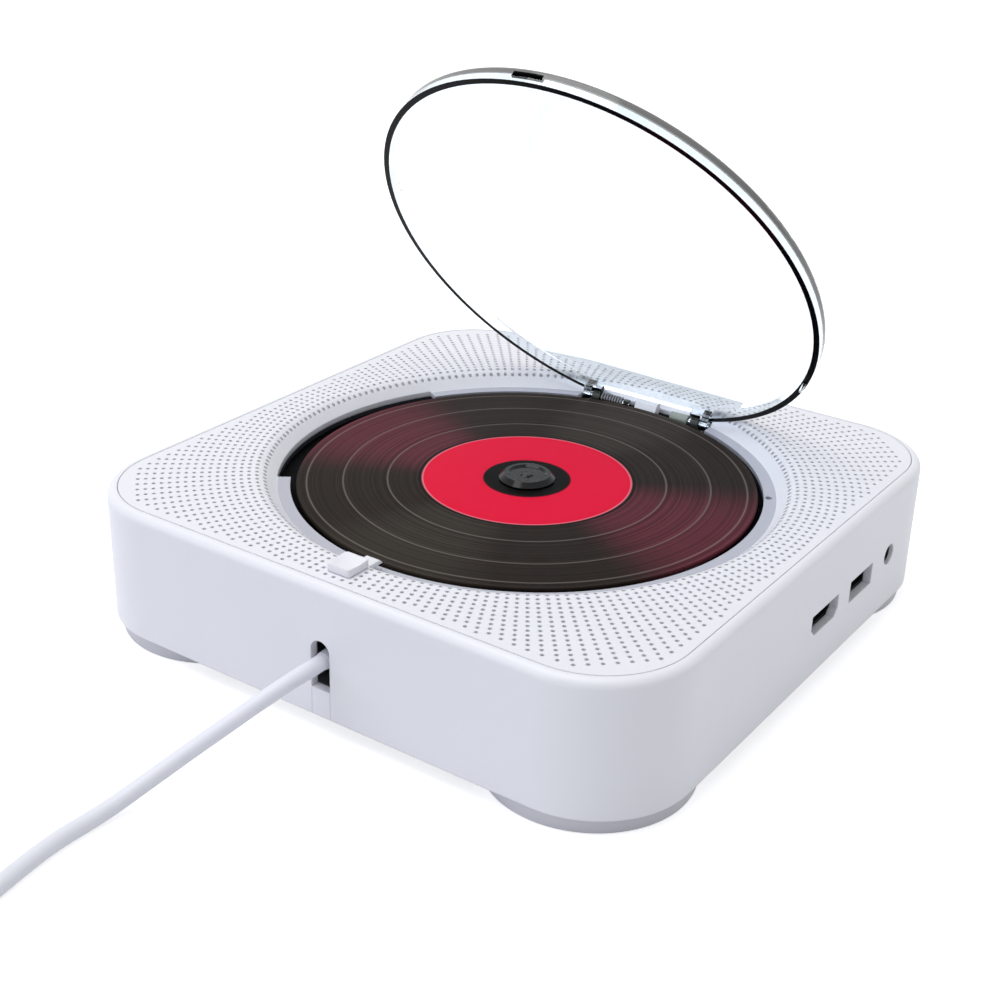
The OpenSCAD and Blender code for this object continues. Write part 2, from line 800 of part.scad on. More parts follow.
module disc() {
    color("#3A2A26") difference() {
        rotate_extrude($fn = 180) polygon([
            [disc_hole / 2, disc_z], [disc_d / 2 - 0.2, disc_z], [disc_d / 2, disc_z + 0.2],
            [disc_d / 2, disc_top - 0.2], [disc_d / 2 - 0.2, disc_top], [disc_hole / 2, disc_top]
        ]);
        rotate_extrude() translate([17, disc_z - 0.1]) square([0.6, 0.3]);
    }
}

module turntable() {
    color(black) difference() {
        rotate_extrude() polygon([
            [0, sleeve_z], [sleeve_r, sleeve_z], [sleeve_r, platform_z], [platform_r, platform_z],
            [platform_r, disc_z - mat_t], [hub_r, disc_z - mat_t], [hub_r, hub_top - hub_edge],
            [hub_r - hub_edge, hub_top], [hub_r - 2.2, hub_top], [hub_r - 2.8, hub_top - 0.5],
            [2, hub_top - 0.5], [1.4, hub_top - 0.1], [0, hub_top - 0.1]
        ]);
        bar_z(spindle_r + snug, sleeve_z - 1, spindle_top, [0, 0]);
        for (turn = [0 : 120 : 240]) rotate(turn) translate([ball_x, 0, ball_z]) sphere(r = ball_r + snug, $fn = 32);
    }
}

module turntable_mat() {
    color(rubber) slab(disc_z - mat_t, disc_z) difference() {
        circle(r = platform_r - 0.5);
        circle(r = disc_hole / 2 + 1);
    }
}

module centring_balls() {
    color(steel) for (turn = [0 : 120 : 240]) rotate(turn)
        translate([ball_x, 0, ball_z]) sphere(r = ball_r, $fn = 32);
}

module spindle() {
    color(steel) bar_z(spindle_r, spindle_low, spindle_top, [0, 0]);
}

// Mechanism: a steel plate on rubber dampers carries the spindle motor, rods, sled and gears.
plate_t = 1.2;
plate_low = [-31, -70];
plate_high = [42, 22];
motor_r = 12.5;
motor_boss_r = 3;
motor_boss = 0.8;

module spindle_motor() {
    color(steel) difference() {
        union() {
            translate([0, 0, plate_z - 6]) rotate_extrude() polygon([
                [0, 0], [motor_r - 0.8, 0], [motor_r, 0.8], [motor_r, 6], [0, 6]
            ]);
            bar_z(motor_boss_r, plate_z - eps, plate_z + plate_t + motor_boss, [0, 0]);
        }
        bar_z(spindle_r + 0.03, plate_z - 5.5, plate_z + 5, [0, 0]);
    }
}

damper_r = 4;
damper_z = plate_z - 1.8;
damper_neck = 2.8;

module dampers() {
    color(rubber) for (place = damper_at) difference() {
        translate([place[0], place[1], 0]) rotate_extrude() polygon([
            [0, damper_z], [damper_r, damper_z], [damper_r, plate_z], [damper_neck, plate_z],
            [damper_neck, plate_z + plate_t], [damper_r, plate_z + plate_t], [damper_r, tray_z - 0.3],
            [0, tray_z - 0.3]
        ]);
        bar_z(post_r + 0.1, damper_z - 1, tray_z + 1, place);
    }
}

module damper_screws() {
    color(steel) for (place = damper_at) difference() {
        union() {
            bar_z(3.4, damper_z - 1.4, damper_z, place);
            bar_z(0.88, damper_z - eps, damper_z + 3.6, place);
        }
        bar_z(0.9, damper_z - 2, damper_z - 0.6, place, $fn = 6);
    }
}

rod_z = plate_z - 2.8;
rod_from = -69.5;
rod_to = -9.5;
tab_t = 1.5;
tab_w = 5.2;
bush_r = 2.5;

module rod_tab(x, y) {
    box([x - tab_w / 2, y, rod_z - 2.4], [x + tab_w / 2, y + tab_t, plate_z + eps]);
}

module chassis() {
    color(steel) difference() {
        union() {
            slab(plate_z, plate_z + plate_t) translate((plate_low + plate_high) / 2)
                rounded(plate_high - plate_low, 5);
            for (x = [-rod_x, rod_x], y = [rod_from, rod_to - tab_t]) rod_tab(x, y);
            bar_z(gear_pin_r, wheel_z - 0.4, plate_z + eps, gear_at);
        }
        box([-13.5, rod_from + tab_t + 0.5, plate_z - 1], [13.5, -13.2, plate_z + plate_t + 1]);
        bar_z(motor_boss_r + 0.1, plate_z - 1, plate_z + plate_t + 1, [0, 0]);
        for (place = damper_at) bar_z(damper_neck + 0.1, plate_z - 1, plate_z + plate_t + 1, place);
        for (x = [-rod_x, rod_x]) bar_y(rod_r + snug, rod_from - 1, rod_to + 1, x, rod_z);
    }
}

module guide_rods() {
    color(steel) for (x = [-rod_x, rod_x]) bar_y(rod_r, rod_from, rod_to, x, rod_z);
}

sled_l = 18;
sled_y = -lens_start - sled_l / 2;
sled_z = plate_z - 4;
rack_x = rod_x + bush_r + 0.4;
turret_r = 3.6;
turret_z = disc_z - 2.4;

module pickup_sled() {
    color(black) difference() {
        union() {
            box([-rod_x, sled_y, sled_z], [rod_x, sled_y + sled_l, plate_z - 0.4]);
            for (x = [-rod_x, rod_x]) bar_y(bush_r, sled_y, sled_y + sled_l, x, rod_z);
            box([rod_x, sled_y + 1, sled_z], [rack_x, sled_y + sled_l - 1, sled_z + 2.2]);
            box([-12, sled_y + 1, plate_z - 1], [12, sled_y + sled_l - 1, plate_z + 2.4]);
            bar_z(6, plate_z + 2, tray_z - 0.3, [0, -lens_start]);
            bar_z(turret_r, tray_z - 1, turret_z, [0, -lens_start]);
        }
        for (x = [-rod_x, rod_x]) bar_y(rod_r + running, sled_y - 1, sled_y + sled_l + 1, x, rod_z);
        bar_z(2.6, turret_z - 1.5, turret_z + 1, [0, -lens_start]);
        box([-9, sled_y + 2.5, sled_z - 1], [9, sled_y + 5, plate_z + 3]);
    }
}

module pickup_lens() {
    color("#6F7FA8", 0.7) translate([0, -lens_start, turret_z - 1.5]) intersection() {
        cylinder(r = 2.5, h = 3);
        translate([0, 0, -3]) sphere(r = 5.4);
    }
}

// Gears have involute teeth with a little backlash, so that they mesh at every angle.
pressure = 25;
backlash = 0.1;
addendum = 0.8;
dedendum = 1.1;
flank_steps = 4;

function roll(r, base) = let (a = acos(min(1, base / r))) tan(a) * 180 / PI - a;
function half_tooth(r, teeth, size) = let (pitch = teeth * size / 2, base = pitch * cos(pressure))
    90 / teeth - backlash / pitch * 45 / PI + roll(pitch, base) - roll(max(r, base), base);

module gear_outline(teeth, size) {
    pitch = teeth * size / 2;
    root = pitch - dedendum * size;
    step = (addendum + dedendum) * size / flank_steps;
    radii = [for (i = [0 : flank_steps]) root + i * step];
    polygon([for (i = [0 : teeth - 1]) each concat(
        [for (r = radii) polar(r, i * 360 / teeth - half_tooth(r, teeth, size))],
        [for (r = reversed(radii)) polar(r, i * 360 / teeth + half_tooth(r, teeth, size))]
    )]);
}

pinion_pitch = pinion_teeth * rack_module / 2;
wheel_pitch = gear_teeth * gear_module / 2;
drive_pitch = motor_teeth * gear_module / 2;
gear_at = [rack_x + 1.8 + pinion_pitch, -32];
gear_pin_r = 1;
pinion_z = sled_z - 0.2;
pinion_t = 2.6;
wheel_z = sled_z - 3.4;
wheel_t = 1.4;
drive_angle = -50;
drive_at = gear_at + polar(wheel_pitch + drive_pitch, drive_angle);
drive_shaft_r = 0.75;

module sled_rack() {
    length = pickup_travel + 5;
    pitch_x = gear_at[0] - pinion_pitch;
    root = pitch_x - dedendum * rack_module;
    tip = pitch_x + addendum * rack_module;
    gap = PI * rack_module;
    at_root = gap / 4 - backlash / 4 + dedendum * rack_module * tan(pressure);
    at_tip = gap / 4 - backlash / 4 - addendum * rack_module * tan(pressure);
    low = gear_at[1] - 1.5 * gap;
    teeth = floor(length / gap);
    color(white) slab(sled_z, sled_z + 2.2) {
        polygon(concat(
            [[rack_x, low - gap / 2]],
            [for (i = [0 : teeth]) each [
                [root, low + (i + 0.5) * gap - at_root], [tip, low + (i + 0.5) * gap - at_tip],
                [tip, low + (i + 0.5) * gap + at_tip], [root, low + (i + 0.5) * gap + at_root]
            ]],
            [[rack_x, low + (teeth + 1.5) * gap]]
        ));
    }
}

module compound_gear() {
    color(white) translate([gear_at[0], gear_at[1], 0]) difference() {
        union() {
            slab(pinion_z, pinion_z + pinion_t) rotate(180 / pinion_teeth) gear_outline(pinion_teeth, rack_module);
            bar_z(3, wheel_z, pinion_z + eps, [0, 0]);
            slab(wheel_z, wheel_z + wheel_t) rotate(drive_angle) gear_outline(gear_teeth, gear_module);
        }
        bar_z(gear_pin_r + running, wheel_z - 1, pinion_z + pinion_t + 1, [0, 0]);
    }
}

module motor_pinion() {
    color(brass) translate([drive_at[0], drive_at[1], 0]) {
        slab(wheel_z - 0.2, wheel_z + wheel_t + 0.2) rotate(drive_angle + 180 + 180 / motor_teeth)
            gear_outline(motor_teeth, gear_module);
        bar_z(drive_shaft_r, wheel_z - 0.2, plate_z - 3, [0, 0]);
    }
}

module sled_motor() {
    color(steel) translate([drive_at[0], drive_at[1], 0]) difference() {
        union() {
            bar_z(6, plate_z - 4.5, plate_z, [0, 0]);
            bar_z(2, plate_z - 5, plate_z - 4, [0, 0]);
        }
        bar_z(drive_shaft_r + running, plate_z - 6, plate_z - 2.8, [0, 0]);
    }
}

// Electronics: a main board, a socket board, a power board and a button board.
module circuit_board(low, high, z, holes) {
    color(board) slab(z, z + board_t) difference() {
        translate((low + high) / 2) rounded(high - low, 1);
        for (place = holes) translate(place) circle(r = 1.1);
    }
}

module main_board() {
    circuit_board(main_low, main_high, main_board_z, main_posts);
}

module board_components() {
    top = main_board_z + board_t;
    color(rubber) {
        translate([-10, 0]) slab(top, top + 1.4) rounded([12, 12], 0.5);
        translate([14, 10]) slab(top, top + 1.2) rounded([9, 7], 0.5);
        translate([-30, 12]) slab(top, top + 4) rounded([8, 10], 0.8);
        for (x = [-34, -26], y = [-14]) bar_z(3.1, top, top + 6.5, [x, y]);
        for (x = [20, 26, 32]) bar_z(2.5, top, top + 5, [x, -12]);
        box([-8, 24, top], [8, 29, top + 3]);
    }
}

module board_screws() {
    top = main_board_z + board_t;
    color(steel) for (place = main_posts) difference() {
        union() {
            bar_z(2.1, top, top + 1.5, place);
            bar_z(1 - snug, cover_z, top + eps, place);
        }
        bar_z(0.9, top + 0.7, top + 2, place, $fn = 6);
    }
}

module socket_board() {
    circuit_board([60, -3], [inner - 1.3, 54], socket_board_z, []);
}

socket_end = inner - 0.2;
socket_floor = socket_board_z + board_t;
usb_w = 13.5;
usb_h = 6;
jack_z = base_z + socket_z + 0.9;
jack_barrel_r = 2.65;
jack_end = half - 1;
jack_depth = 12;

module hdmi_socket() {
    z = base_z + socket_z;
    color(steel) difference() {
        box([socket_end - 11.5, hdmi_y - 7.6, socket_floor], [socket_end, hdmi_y + 7.6, z + 3]);
        translate([socket_end - 10.5, hdmi_y, z]) rotate([90, 0, 90]) linear_extrude(12) polygon([
            [-7, 2.4], [-7, -0.8], [-5.4, -2.4], [5.4, -2.4], [7, -0.8], [7, 2.4]
        ]);
    }
    color(black) box([socket_end - 10.6, hdmi_y - 5.8, z - 0.5], [socket_end - 1, hdmi_y + 5.8, z + 0.7]);
}

module usb_socket() {
    z = base_z + socket_z;
    color(steel) difference() {
        box([socket_end - 14, usb_y - 7.2, socket_floor], [socket_end, usb_y + 7.2, z + 3.3]);
        box([socket_end - 13, usb_y - 6.3, z - 2.4], [socket_end + 1, usb_y + 6.3, z + 2.7]);
    }
    color(white) box([socket_end - 13.1, usb_y - 5.6, z + 0.4], [socket_end - 1, usb_y + 5.6, z + 2.2]);
}

module audio_jack() {
    color(rubber) difference() {
        union() {
            box([socket_end - 14, jack_y - 3.2, socket_floor], [socket_end, jack_y + 3.2, jack_z + 3]);
            bar_x(jack_barrel_r, socket_end - 1, jack_end, jack_y, jack_z);
        }
        bar_x(jack_bore_r, jack_end - jack_depth, jack_end + 1, jack_y, jack_z);
    }
}

// Power: the cord's near plug goes into a socket behind the slot in the case.
plug_r = 1.75;
plug_bore = 10;

module power_board() {
    circuit_board([-9, power_from + 0.5], [9, power_from + 19], power_board_z, []);
}

module power_socket() {
    floor_at = power_board_z + board_t;
    color(black) difference() {
        box([-4.5, power_from, floor_at], [4.5, power_from + 12, power_z + 2.3]);
        bar_y(plug_r + running, power_from - 1, power_from + plug_bore, 0, power_z);
    }
    color(steel) bar_y(0.6, power_from + 1, power_from + plug_bore + 1, 0, power_z);
}

relief_end = -half + 1;

module near_plug() {
    color(shade) difference() {
        union() {
            bar_y(plug_r, power_from - 1, power_from + plug_bore - 1.5, 0, power_z);
            bar_y(3, power_from - 6, power_from - 0.1, 0, power_z);
            translate([0, power_from - 5.9, power_z]) rotate([90, 0, 0])
                cylinder(r1 = 2.6, r2 = cord_d / 2 + 0.1, h = power_from - 5.9 - relief_end);
        }
        bar_y(0.7, power_from - 0.1, power_from + plug_bore, 0, power_z);
    }
}

// The cord leaves the slot, comes down to the floor and runs on to its coil.
cord_points = [
    [0, -82, 19], [0, -86, 19], [-0.3, -91, 18.8], [-1.2, -96, 17.9], [-2.7, -101, 16.3],
    [-4.7, -106, 14.1], [-6.9, -111, 11.7], [-9.1, -116, 9.3], [-11.1, -121, 7], [-12.8, -126, 5],
    [-14.1, -131, 3.4], [-15, -136, 2.4], [-15.5, -141, 2], [-15.7, -147, 2], [-15.4, -153, 2],
    [-14.7, -159, 2], [-13.8, -165, 2], [-12.7, -172, 2], [-11.5, -180, 2], [-10.4, -188, 2], [-10, -196, 2]
];
coil_at = [-42, -196];
coil_outer = 30;
coil_inner = 18;
coil_h = 12;

module power_cord() {
    color(cord_white) tube(cord_points, cord_d / 2, 12, [0, 0, 1]);
}

module cord_coil() {
    color(cord_white) translate([coil_at[0], coil_at[1], 0]) rotate_extrude()
        translate([coil_inner, 0]) square([coil_outer - coil_inner, coil_h]);
}

far_x = coil_at[0] - coil_outer - 2.3;
far_z = 4.2;

module far_plug() {
    color(cord_white) {
        translate([far_x, -194, far_z]) rotate([-90, 0, 0]) cylinder(r1 = 2.2, r2 = 3.4, h = 18);
        translate([far_x, 0, far_z]) rotate([90, 0, 0]) translate([0, 0, 152]) linear_extrude(24.1)
            rounded([16, 2 * far_z], 2);
    }
    color(steel) difference() {
        box([far_x - 6, -152.1, far_z - 2.25], [far_x + 6, -140, far_z + 2.25]);
        box([far_x - 5.7, -151, far_z - 1.95], [far_x + 5.7, -139, far_z + 1.95]);
    }
    color(black) box([far_x - 5.7, -151.1, far_z - 1.95], [far_x + 5.7, -140.5, far_z - 0.2]);
}

// Buttons on the top edge, each with a flange behind the wall and a switch behind it.
button_z = base_z + 15.5;
button_x = [for (i = [0 : button_count - 1]) (i - (button_count - 1) / 2) * button_pitch];
button_face = half + 0.3;
button_board_y = inner - 8.8;
button_board_z = base_z + 3.5;
plunger_y = inner - 3.4;

module button(i) {
    x = button_x[i];
    color(white) {
        translate([x, button_face, button_z]) rotate([90, 0, 0])
            linear_extrude(button_face - inner + 0.4) pill(button_w, button_h);
        translate([x, inner - 0.3, button_z]) rotate([90, 0, 0])
            linear_extrude(1.3) pill(button_w + 1.6, button_h + 1.6);
        bar_y(1.5, plunger_y + button_travel, inner - 1, x, button_z);
    }
}

module button_1() {
    button(0);
}

module button_2() {
    button(1);
}

module button_3() {
    button(2);
}

module button_4() {
    button(3);
}

module button_5() {
    button(4);
}

module button_board() {
    face = button_board_y + board_t;
    color(board) box([-30, button_board_y, button_board_z], [30, face, button_z + 6]);
    color(rubber) for (x = button_x) {
        box([x - 3, face - eps, button_z - 3], [x + 3, face + 2.6, button_z + 3]);
        bar_y(1.2, face + 2.5, plunger_y, x, button_z);
    }
}

// A flat ribbon joins the button board to the main board's connector.
module button_ribbon() {
    top = main_board_z + board_t;
    back = button_board_y;
    color("#D8D3C4") translate([-6, 0, 0]) rotate([90, 0, 90]) linear_extrude(12) polygon([
        [29, top + 1.4], [back - 3, top + 1.4], [back - 0.6, top + 4], [back - 0.6, button_z - 4],
        [back, button_z - 4], [back, button_z - 3.6], [back - 1, button_z - 3.6], [back - 1, top + 4.2],
        [back - 3.2, top + 1.8], [29, top + 1.8]
    ]);
}

case_shell();
grille_panel();
speaker_baffle();
speaker_cloths();
well_tray();
back_cover();
case_screws();
feet();
foot_pads();
slot_filler();
lid();
hinge_bracket();
hinge_pins();
lid_spring();
lid_damper();
lid_stop();
lid_switch();
latch();
latch_spring();
disc();
turntable();
turntable_mat();
centring_balls();
spindle();
spindle_motor();
chassis();
dampers();
damper_screws();
guide_rods();
pickup_sled();
pickup_lens();
sled_rack();
compound_gear();
motor_pinion();
sled_motor();
speaker_left();
speaker_right();
speaker_cones();
main_board();
board_components();
board_screws();
socket_board();
hdmi_socket();
usb_socket();
audio_jack();
power_board();
power_socket();
button_1();
button_2();
button_3();
button_4();
button_5();
button_board();
button_ribbon();
near_plug();
power_cord();
cord_coil();
far_plug();
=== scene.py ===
from math import cos, hypot, pi, radians, sin

import bpy
from mathutils import Matrix, Vector


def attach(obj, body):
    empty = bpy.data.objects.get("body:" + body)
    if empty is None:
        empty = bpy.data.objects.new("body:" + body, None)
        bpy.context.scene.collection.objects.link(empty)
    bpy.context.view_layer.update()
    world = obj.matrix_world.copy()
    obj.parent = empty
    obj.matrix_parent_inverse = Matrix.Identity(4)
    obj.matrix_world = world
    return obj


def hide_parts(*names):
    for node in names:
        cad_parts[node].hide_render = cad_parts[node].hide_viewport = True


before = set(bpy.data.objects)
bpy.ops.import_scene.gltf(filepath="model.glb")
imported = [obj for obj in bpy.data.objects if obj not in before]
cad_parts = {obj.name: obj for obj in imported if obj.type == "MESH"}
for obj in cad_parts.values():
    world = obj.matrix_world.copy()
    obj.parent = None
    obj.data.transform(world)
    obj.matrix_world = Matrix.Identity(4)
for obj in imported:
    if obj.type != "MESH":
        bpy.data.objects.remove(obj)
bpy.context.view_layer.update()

MM = 0.001


# Camera: a long lens a little above the deck, in front of the corner between the cord's side
# and the sockets' side. It leans by a degree and a half, as the photograph does.
azimuth = 34.31
elevation = 25.61
lean = 1.642
camera_place = Vector((212.15, -323.08, 213.89)) * MM
focal_length = 58.58
film_width = 36

bpy.ops.object.camera_add()
camera = bpy.context.object
camera.name = "studio_camera"
camera.data.lens = focal_length
camera.data.sensor_width = film_width
camera.matrix_world = (
    Matrix.Translation(camera_place)
    @ Matrix.Rotation(radians(azimuth), 4, "Z")
    @ Matrix.Rotation(radians(90 - elevation), 4, "X")
    @ Matrix.Rotation(radians(lean), 4, "Z")
)
bpy.context.scene.camera = camera


# Power cord: a round PVC cord, 4 mm thick, moulded on to the plug inside the slot. It bends down
# to the floor on its own weight, and the spare length is wound into six and a half turns.
cord_thickness = 4 * MM
cord_route = [
    (0, -82, 19), (0, -86, 19), (-0.3, -91, 18.8), (-1.2, -96, 17.9), (-2.7, -101, 16.3),
    (-4.7, -106, 14.1), (-6.9, -111, 11.7), (-9.1, -116, 9.3), (-11.1, -121, 7), (-12.8, -126, 5),
    (-14.1, -131, 3.4), (-15, -136, 2.4), (-15.5, -141, 2), (-15.7, -147, 2), (-15.4, -153, 2),
    (-14.7, -159, 2), (-13.8, -165, 2), (-12.7, -172, 2), (-11.5, -180, 2), (-10.4, -188, 2),
    (-10, -196, 2),
]
coil_centre = (-42, -196)
# Where the winding is after so many turns: its radius and the height of the cord's middle.
coil_stations = [
    (0, 32, 2), (0.24, 28, 2), (0.9, 28, 2), (1.1, 24, 2), (1.9, 24, 2), (2.1, 20, 2), (2.75, 20, 2),
    (3, 20, 6), (3.55, 20, 6), (3.75, 24, 6), (4.5, 24, 6), (4.7, 28, 6), (5.4, 28, 6), (5.65, 28, 10),
    (6.1, 28, 10), (6.28, 32.2, 9), (6.45, 32.3, 4.8), (6.5, 32.3, 4.2),
]
coil_turns = 6.5
steps_per_turn = 20


def coil_point(turns):
    """A point of the winding, clockwise from above, eased between its stations."""
    for (start, r0, z0), (end, r1, z1) in zip(coil_stations, coil_stations[1:]):
        if turns <= end:
            share = (turns - start) / (end - start)
            break
    share = share * share * (3 - 2 * share)
    radius = r0 + (r1 - r0) * share
    turned = 2 * pi * turns
    return (
        coil_centre[0] + radius * cos(turned),
        coil_centre[1] - radius * sin(turned),
        z0 + (z1 - z0) * share,
    )


winding = [coil_point(i / steps_per_turn) for i in range(1, int(coil_turns * steps_per_turn) + 1)]
cord_points = [Vector(p) * MM for p in cord_route + winding]

cord_curve = bpy.data.curves.new("power_cord_curve", "CURVE")
cord_curve.dimensions = "3D"
cord_curve.bevel_depth = cord_thickness / 2
cord_curve.bevel_resolution = 4
cord_curve.use_fill_caps = True
cord_line = cord_curve.splines.new("BEZIER")
cord_line.bezier_points.add(len(cord_points) - 1)
cord_line.resolution_u = 5
for knot, place in zip(cord_line.bezier_points, cord_points):
    knot.co = place
    knot.handle_left_type = knot.handle_right_type = "AUTO"
cord = bpy.data.objects.new("power_cord_lead", cord_curve)
bpy.context.scene.collection.objects.link(cord)


def linear(code):
    """The linear colour of an sRGB hex code."""
    parts = [int(code[i:i + 2], 16) / 255 for i in (1, 3, 5)]
    return (*[c / 12.92 if c <= 0.04045 else ((c + 0.055) / 1.055) ** 2.4 for c in parts], 1)


def add(tree, kind, inputs=None, **settings):
    """Adds a node with its settings, and sets or links its inputs."""
    node = tree.nodes.new("ShaderNode" + kind)
    for name, value in settings.items():
        setattr(node, name, value)
    for name, value in (inputs or {}).items():
        if isinstance(value, bpy.types.NodeSocket):
            tree.links.new(value, node.inputs[name])
        else:
            node.inputs[name].default_value = value
    return node


def new_finish(name, **plain):
    """A material, its node tree and its shader, with the values that are the same all over."""
    material = bpy.data.materials.new(name)
    material.use_nodes = True
    shader = material.node_tree.nodes["Principled BSDF"]
    for socket, value in plain.items():
        shader.inputs[socket.replace("_", " ")].default_value = value
    return material, material.node_tree, shader


def moulded(name, colour, deeper, roughness, grain, depth, **plain):
    """Moulded plastic or rubber: a fine spark-eroded grain, and a tone that drifts over the piece."""
    material, tree, shader = new_finish(name, **plain)
    place = add(tree, "TexCoord").outputs["Object"]
    drift = add(tree, "TexNoise", {"Vector": place, "Scale": 1 / (40 * MM), "Detail": 2.0})
    tone = add(tree, "Mix", {"Factor": drift.outputs["Fac"], "A": linear(colour), "B": linear(deeper)},
               data_type="RGBA")
    fine = add(tree, "TexNoise", {"Vector": place, "Scale": 1 / grain, "Detail": 3.0, "Roughness": 0.6})
    relief = add(tree, "Bump", {"Height": fine.outputs["Fac"], "Distance": depth, "Strength": 0.5})
    gloss = add(tree, "MapRange", {"Value": fine.outputs["Fac"], "To Min": roughness - 0.04,
                                   "To Max": roughness + 0.04})
    tree.links.new(tone.outputs["Result"], shader.inputs["Base Color"])
    tree.links.new(gloss.outputs["Result"], shader.inputs["Roughness"])
    tree.links.new(relief.outputs["Normal"], shader.inputs["Normal"])
    return material


def dress(material, *names):
    """Gives CAD nodes a material, through their material slots."""
    for name in names:
        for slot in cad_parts[name].material_slots:
            slot.material = material


# Soft PVC has a low sheen and next to no grain, so the cord shades smoothly from white to grey.
cord_pvc = moulded("Extruded PVC, white", "#E9EBF2", "#E2E4EC", 0.42, 1.2 * MM, 0.01 * MM)
cord_curve.materials.append(cord_pvc)
dress(cord_pvc, "near_plug")

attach(cord, "case")
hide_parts("power_cord", "cord_coil")


# Far plug: a USB plug at the cord's far end, a PVC overmould with a ribbed strain relief on a
# folded steel shell. It lies on the floor beside the coil.
plug_x = -74.3 * MM
plug_z = 4.2 * MM
shell_from = -152 * MM
tongue_top = plug_z - 0.15 * MM
tongue_half = 5.6 * MM


def whole_copy(node, name):
    """A piece made from a CAD node's mesh, with its triangles joined into whole flat faces."""
    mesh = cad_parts[node].data.copy()
    piece = bpy.data.objects.new(name, mesh)
    bpy.context.scene.collection.objects.link(piece)
    bpy.ops.object.select_all(action="DESELECT")
    piece.select_set(True)
    bpy.context.view_layer.objects.active = piece
    bpy.ops.mesh.customdata_custom_splitnormals_clear()
    bpy.ops.object.mode_set(mode="EDIT")
    bpy.ops.mesh.select_all(action="SELECT")
    bpy.ops.mesh.remove_doubles(threshold=0.001 * MM)
    bpy.ops.mesh.dissolve_limited(angle_limit=radians(0.4))
    bpy.ops.object.mode_set(mode="OBJECT")
    mesh.materials.clear()
    return piece


def soften(piece, width, angle=40, segments=2):
    """Rounds a piece's sharp edges, as a mould or a press leaves them."""
    bevel = piece.modifiers.new("edges", "BEVEL")
    bevel.width = width
    bevel.segments = segments
    bevel.limit_method = "ANGLE"
    bevel.angle_limit = radians(angle)
    bevel.use_clamp_overlap = True
    bpy.ops.object.select_all(action="DESELECT")
    piece.select_set(True)
    bpy.context.view_layer.objects.active = piece
    bpy.ops.object.modifier_apply(modifier="edges")
    bpy.ops.object.shade_smooth_by_angle(angle=radians(35))


def sort_faces(piece, *rules):
    """Gives each face the slot of the last rule that its middle and normal meet."""
    for face in piece.data.polygons:
        for slot, rule in enumerate(rules, start=1):
            if rule(face.center, face.normal):
                face.material_index = slot


# Nickel-plated steel is drawn with short rolling lines along X, one to a third of a millimetre.
plated_steel, tree, shader = new_finish("Plated steel, rolled", Metallic=1.0, Base_Color=linear("#A7A9AE"))
place = add(tree, "TexCoord").outputs["Object"]
stretched = add(tree, "Mapping", {"Vector": place, "Scale": (0.15, 1, 1)})
rolled = add(tree, "TexNoise", {"Vector": stretched.outputs["Vector"], "Scale": 1 / (0.33 * MM), "Detail": 2.0})
gloss = add(tree, "MapRange", {"Value": rolled.outputs["Fac"], "To Min": 0.24, "To Max": 0.42})
relief = add(tree, "Bump", {"Height": rolled.outputs["Fac"], "Distance": 0.008 * MM, "Strength": 0.4})
tree.links.new(gloss.outputs["Result"], shader.inputs["Roughness"])
tree.links.new(relief.outputs["Normal"], shader.inputs["Normal"])

far_plug = whole_copy("far_plug", "usb_plug")
far_plug.data.materials.append(cord_pvc)
far_plug.data.materials.append(plated_steel)
soften(far_plug, 0.3 * MM)


def is_plug_steel(c, n):
    """True on the plug's shell, and not on the plastic tongue inside it."""
    is_tongue = abs(c.x - plug_x) < tongue_half and c.z < tongue_top and n.z > 0.9
    return c.y > shell_from and not is_tongue


sort_faces(far_plug, is_plug_steel)
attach(far_plug, "case")
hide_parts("far_plug")


# Cord tie: a paper-covered wire, twisted round the coil's turns at the side next to the player.
tie_angle = radians(100)
tie_width = 3.2 * MM
tie_paper = 0.15 * MM
tie_loop = [
    (20, 0.16), (28, 0.16), (29.6, 0.6), (30.2, 2), (30.2, 10), (29.5, 11.6), (28, 12.2),
    (26.4, 11.6), (18.44, 3.56), (17.8, 2), (18.44, 0.5),
]

bpy.ops.object.select_all(action="DESELECT")
bpy.ops.mesh.primitive_plane_add(size=tie_width, location=(0, 0, 0))
tie = bpy.context.object
tie.name = "cord_tie"
bpy.ops.object.mode_set(mode="EDIT")
bpy.ops.mesh.merge(type="CENTER")
tie_axis = Vector((cos(tie_angle), sin(tie_angle), 0))
tie_across = Vector((-sin(tie_angle), cos(tie_angle), 0))
tie_middle = Vector((*coil_centre, 0)) * MM
tie_places = [tie_middle + (tie_axis * r + Vector((0, 0, z))) * MM for r, z in tie_loop]
bpy.ops.transform.translate(value=tie_places[0] - tie_across * tie_width / 2)
for here, there in zip(tie_places, tie_places[1:]):
    bpy.ops.mesh.extrude_region_move(TRANSFORM_OT_translate={"value": there - here})
bpy.ops.mesh.select_all(action="SELECT")
bpy.ops.mesh.edge_face_add()
bpy.ops.mesh.delete(type="ONLY_FACE")
bpy.ops.mesh.select_all(action="SELECT")
bpy.ops.mesh.extrude_region_move(TRANSFORM_OT_translate={"value": tie_across * tie_width})
bpy.ops.mesh.select_all(action="SELECT")
bpy.ops.mesh.normals_make_consistent(inside=False)
bpy.ops.object.mode_set(mode="OBJECT")
bpy.ops.object.transform_apply(location=True, rotation=True, scale=True)
band = tie.modifiers.new("band", "SOLIDIFY")
band.thickness = tie_paper
band.offset = 1
bpy.ops.object.modifier_apply(modifier="band")
bpy.ops.object.shade_smooth_by_angle(angle=radians(50))
tie.data.materials.append(moulded("Coated paper, white", "#E4E6EA", "#D2D5DA", 0.62, 0.3 * MM, 0.02 * MM))
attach(tie, "case")


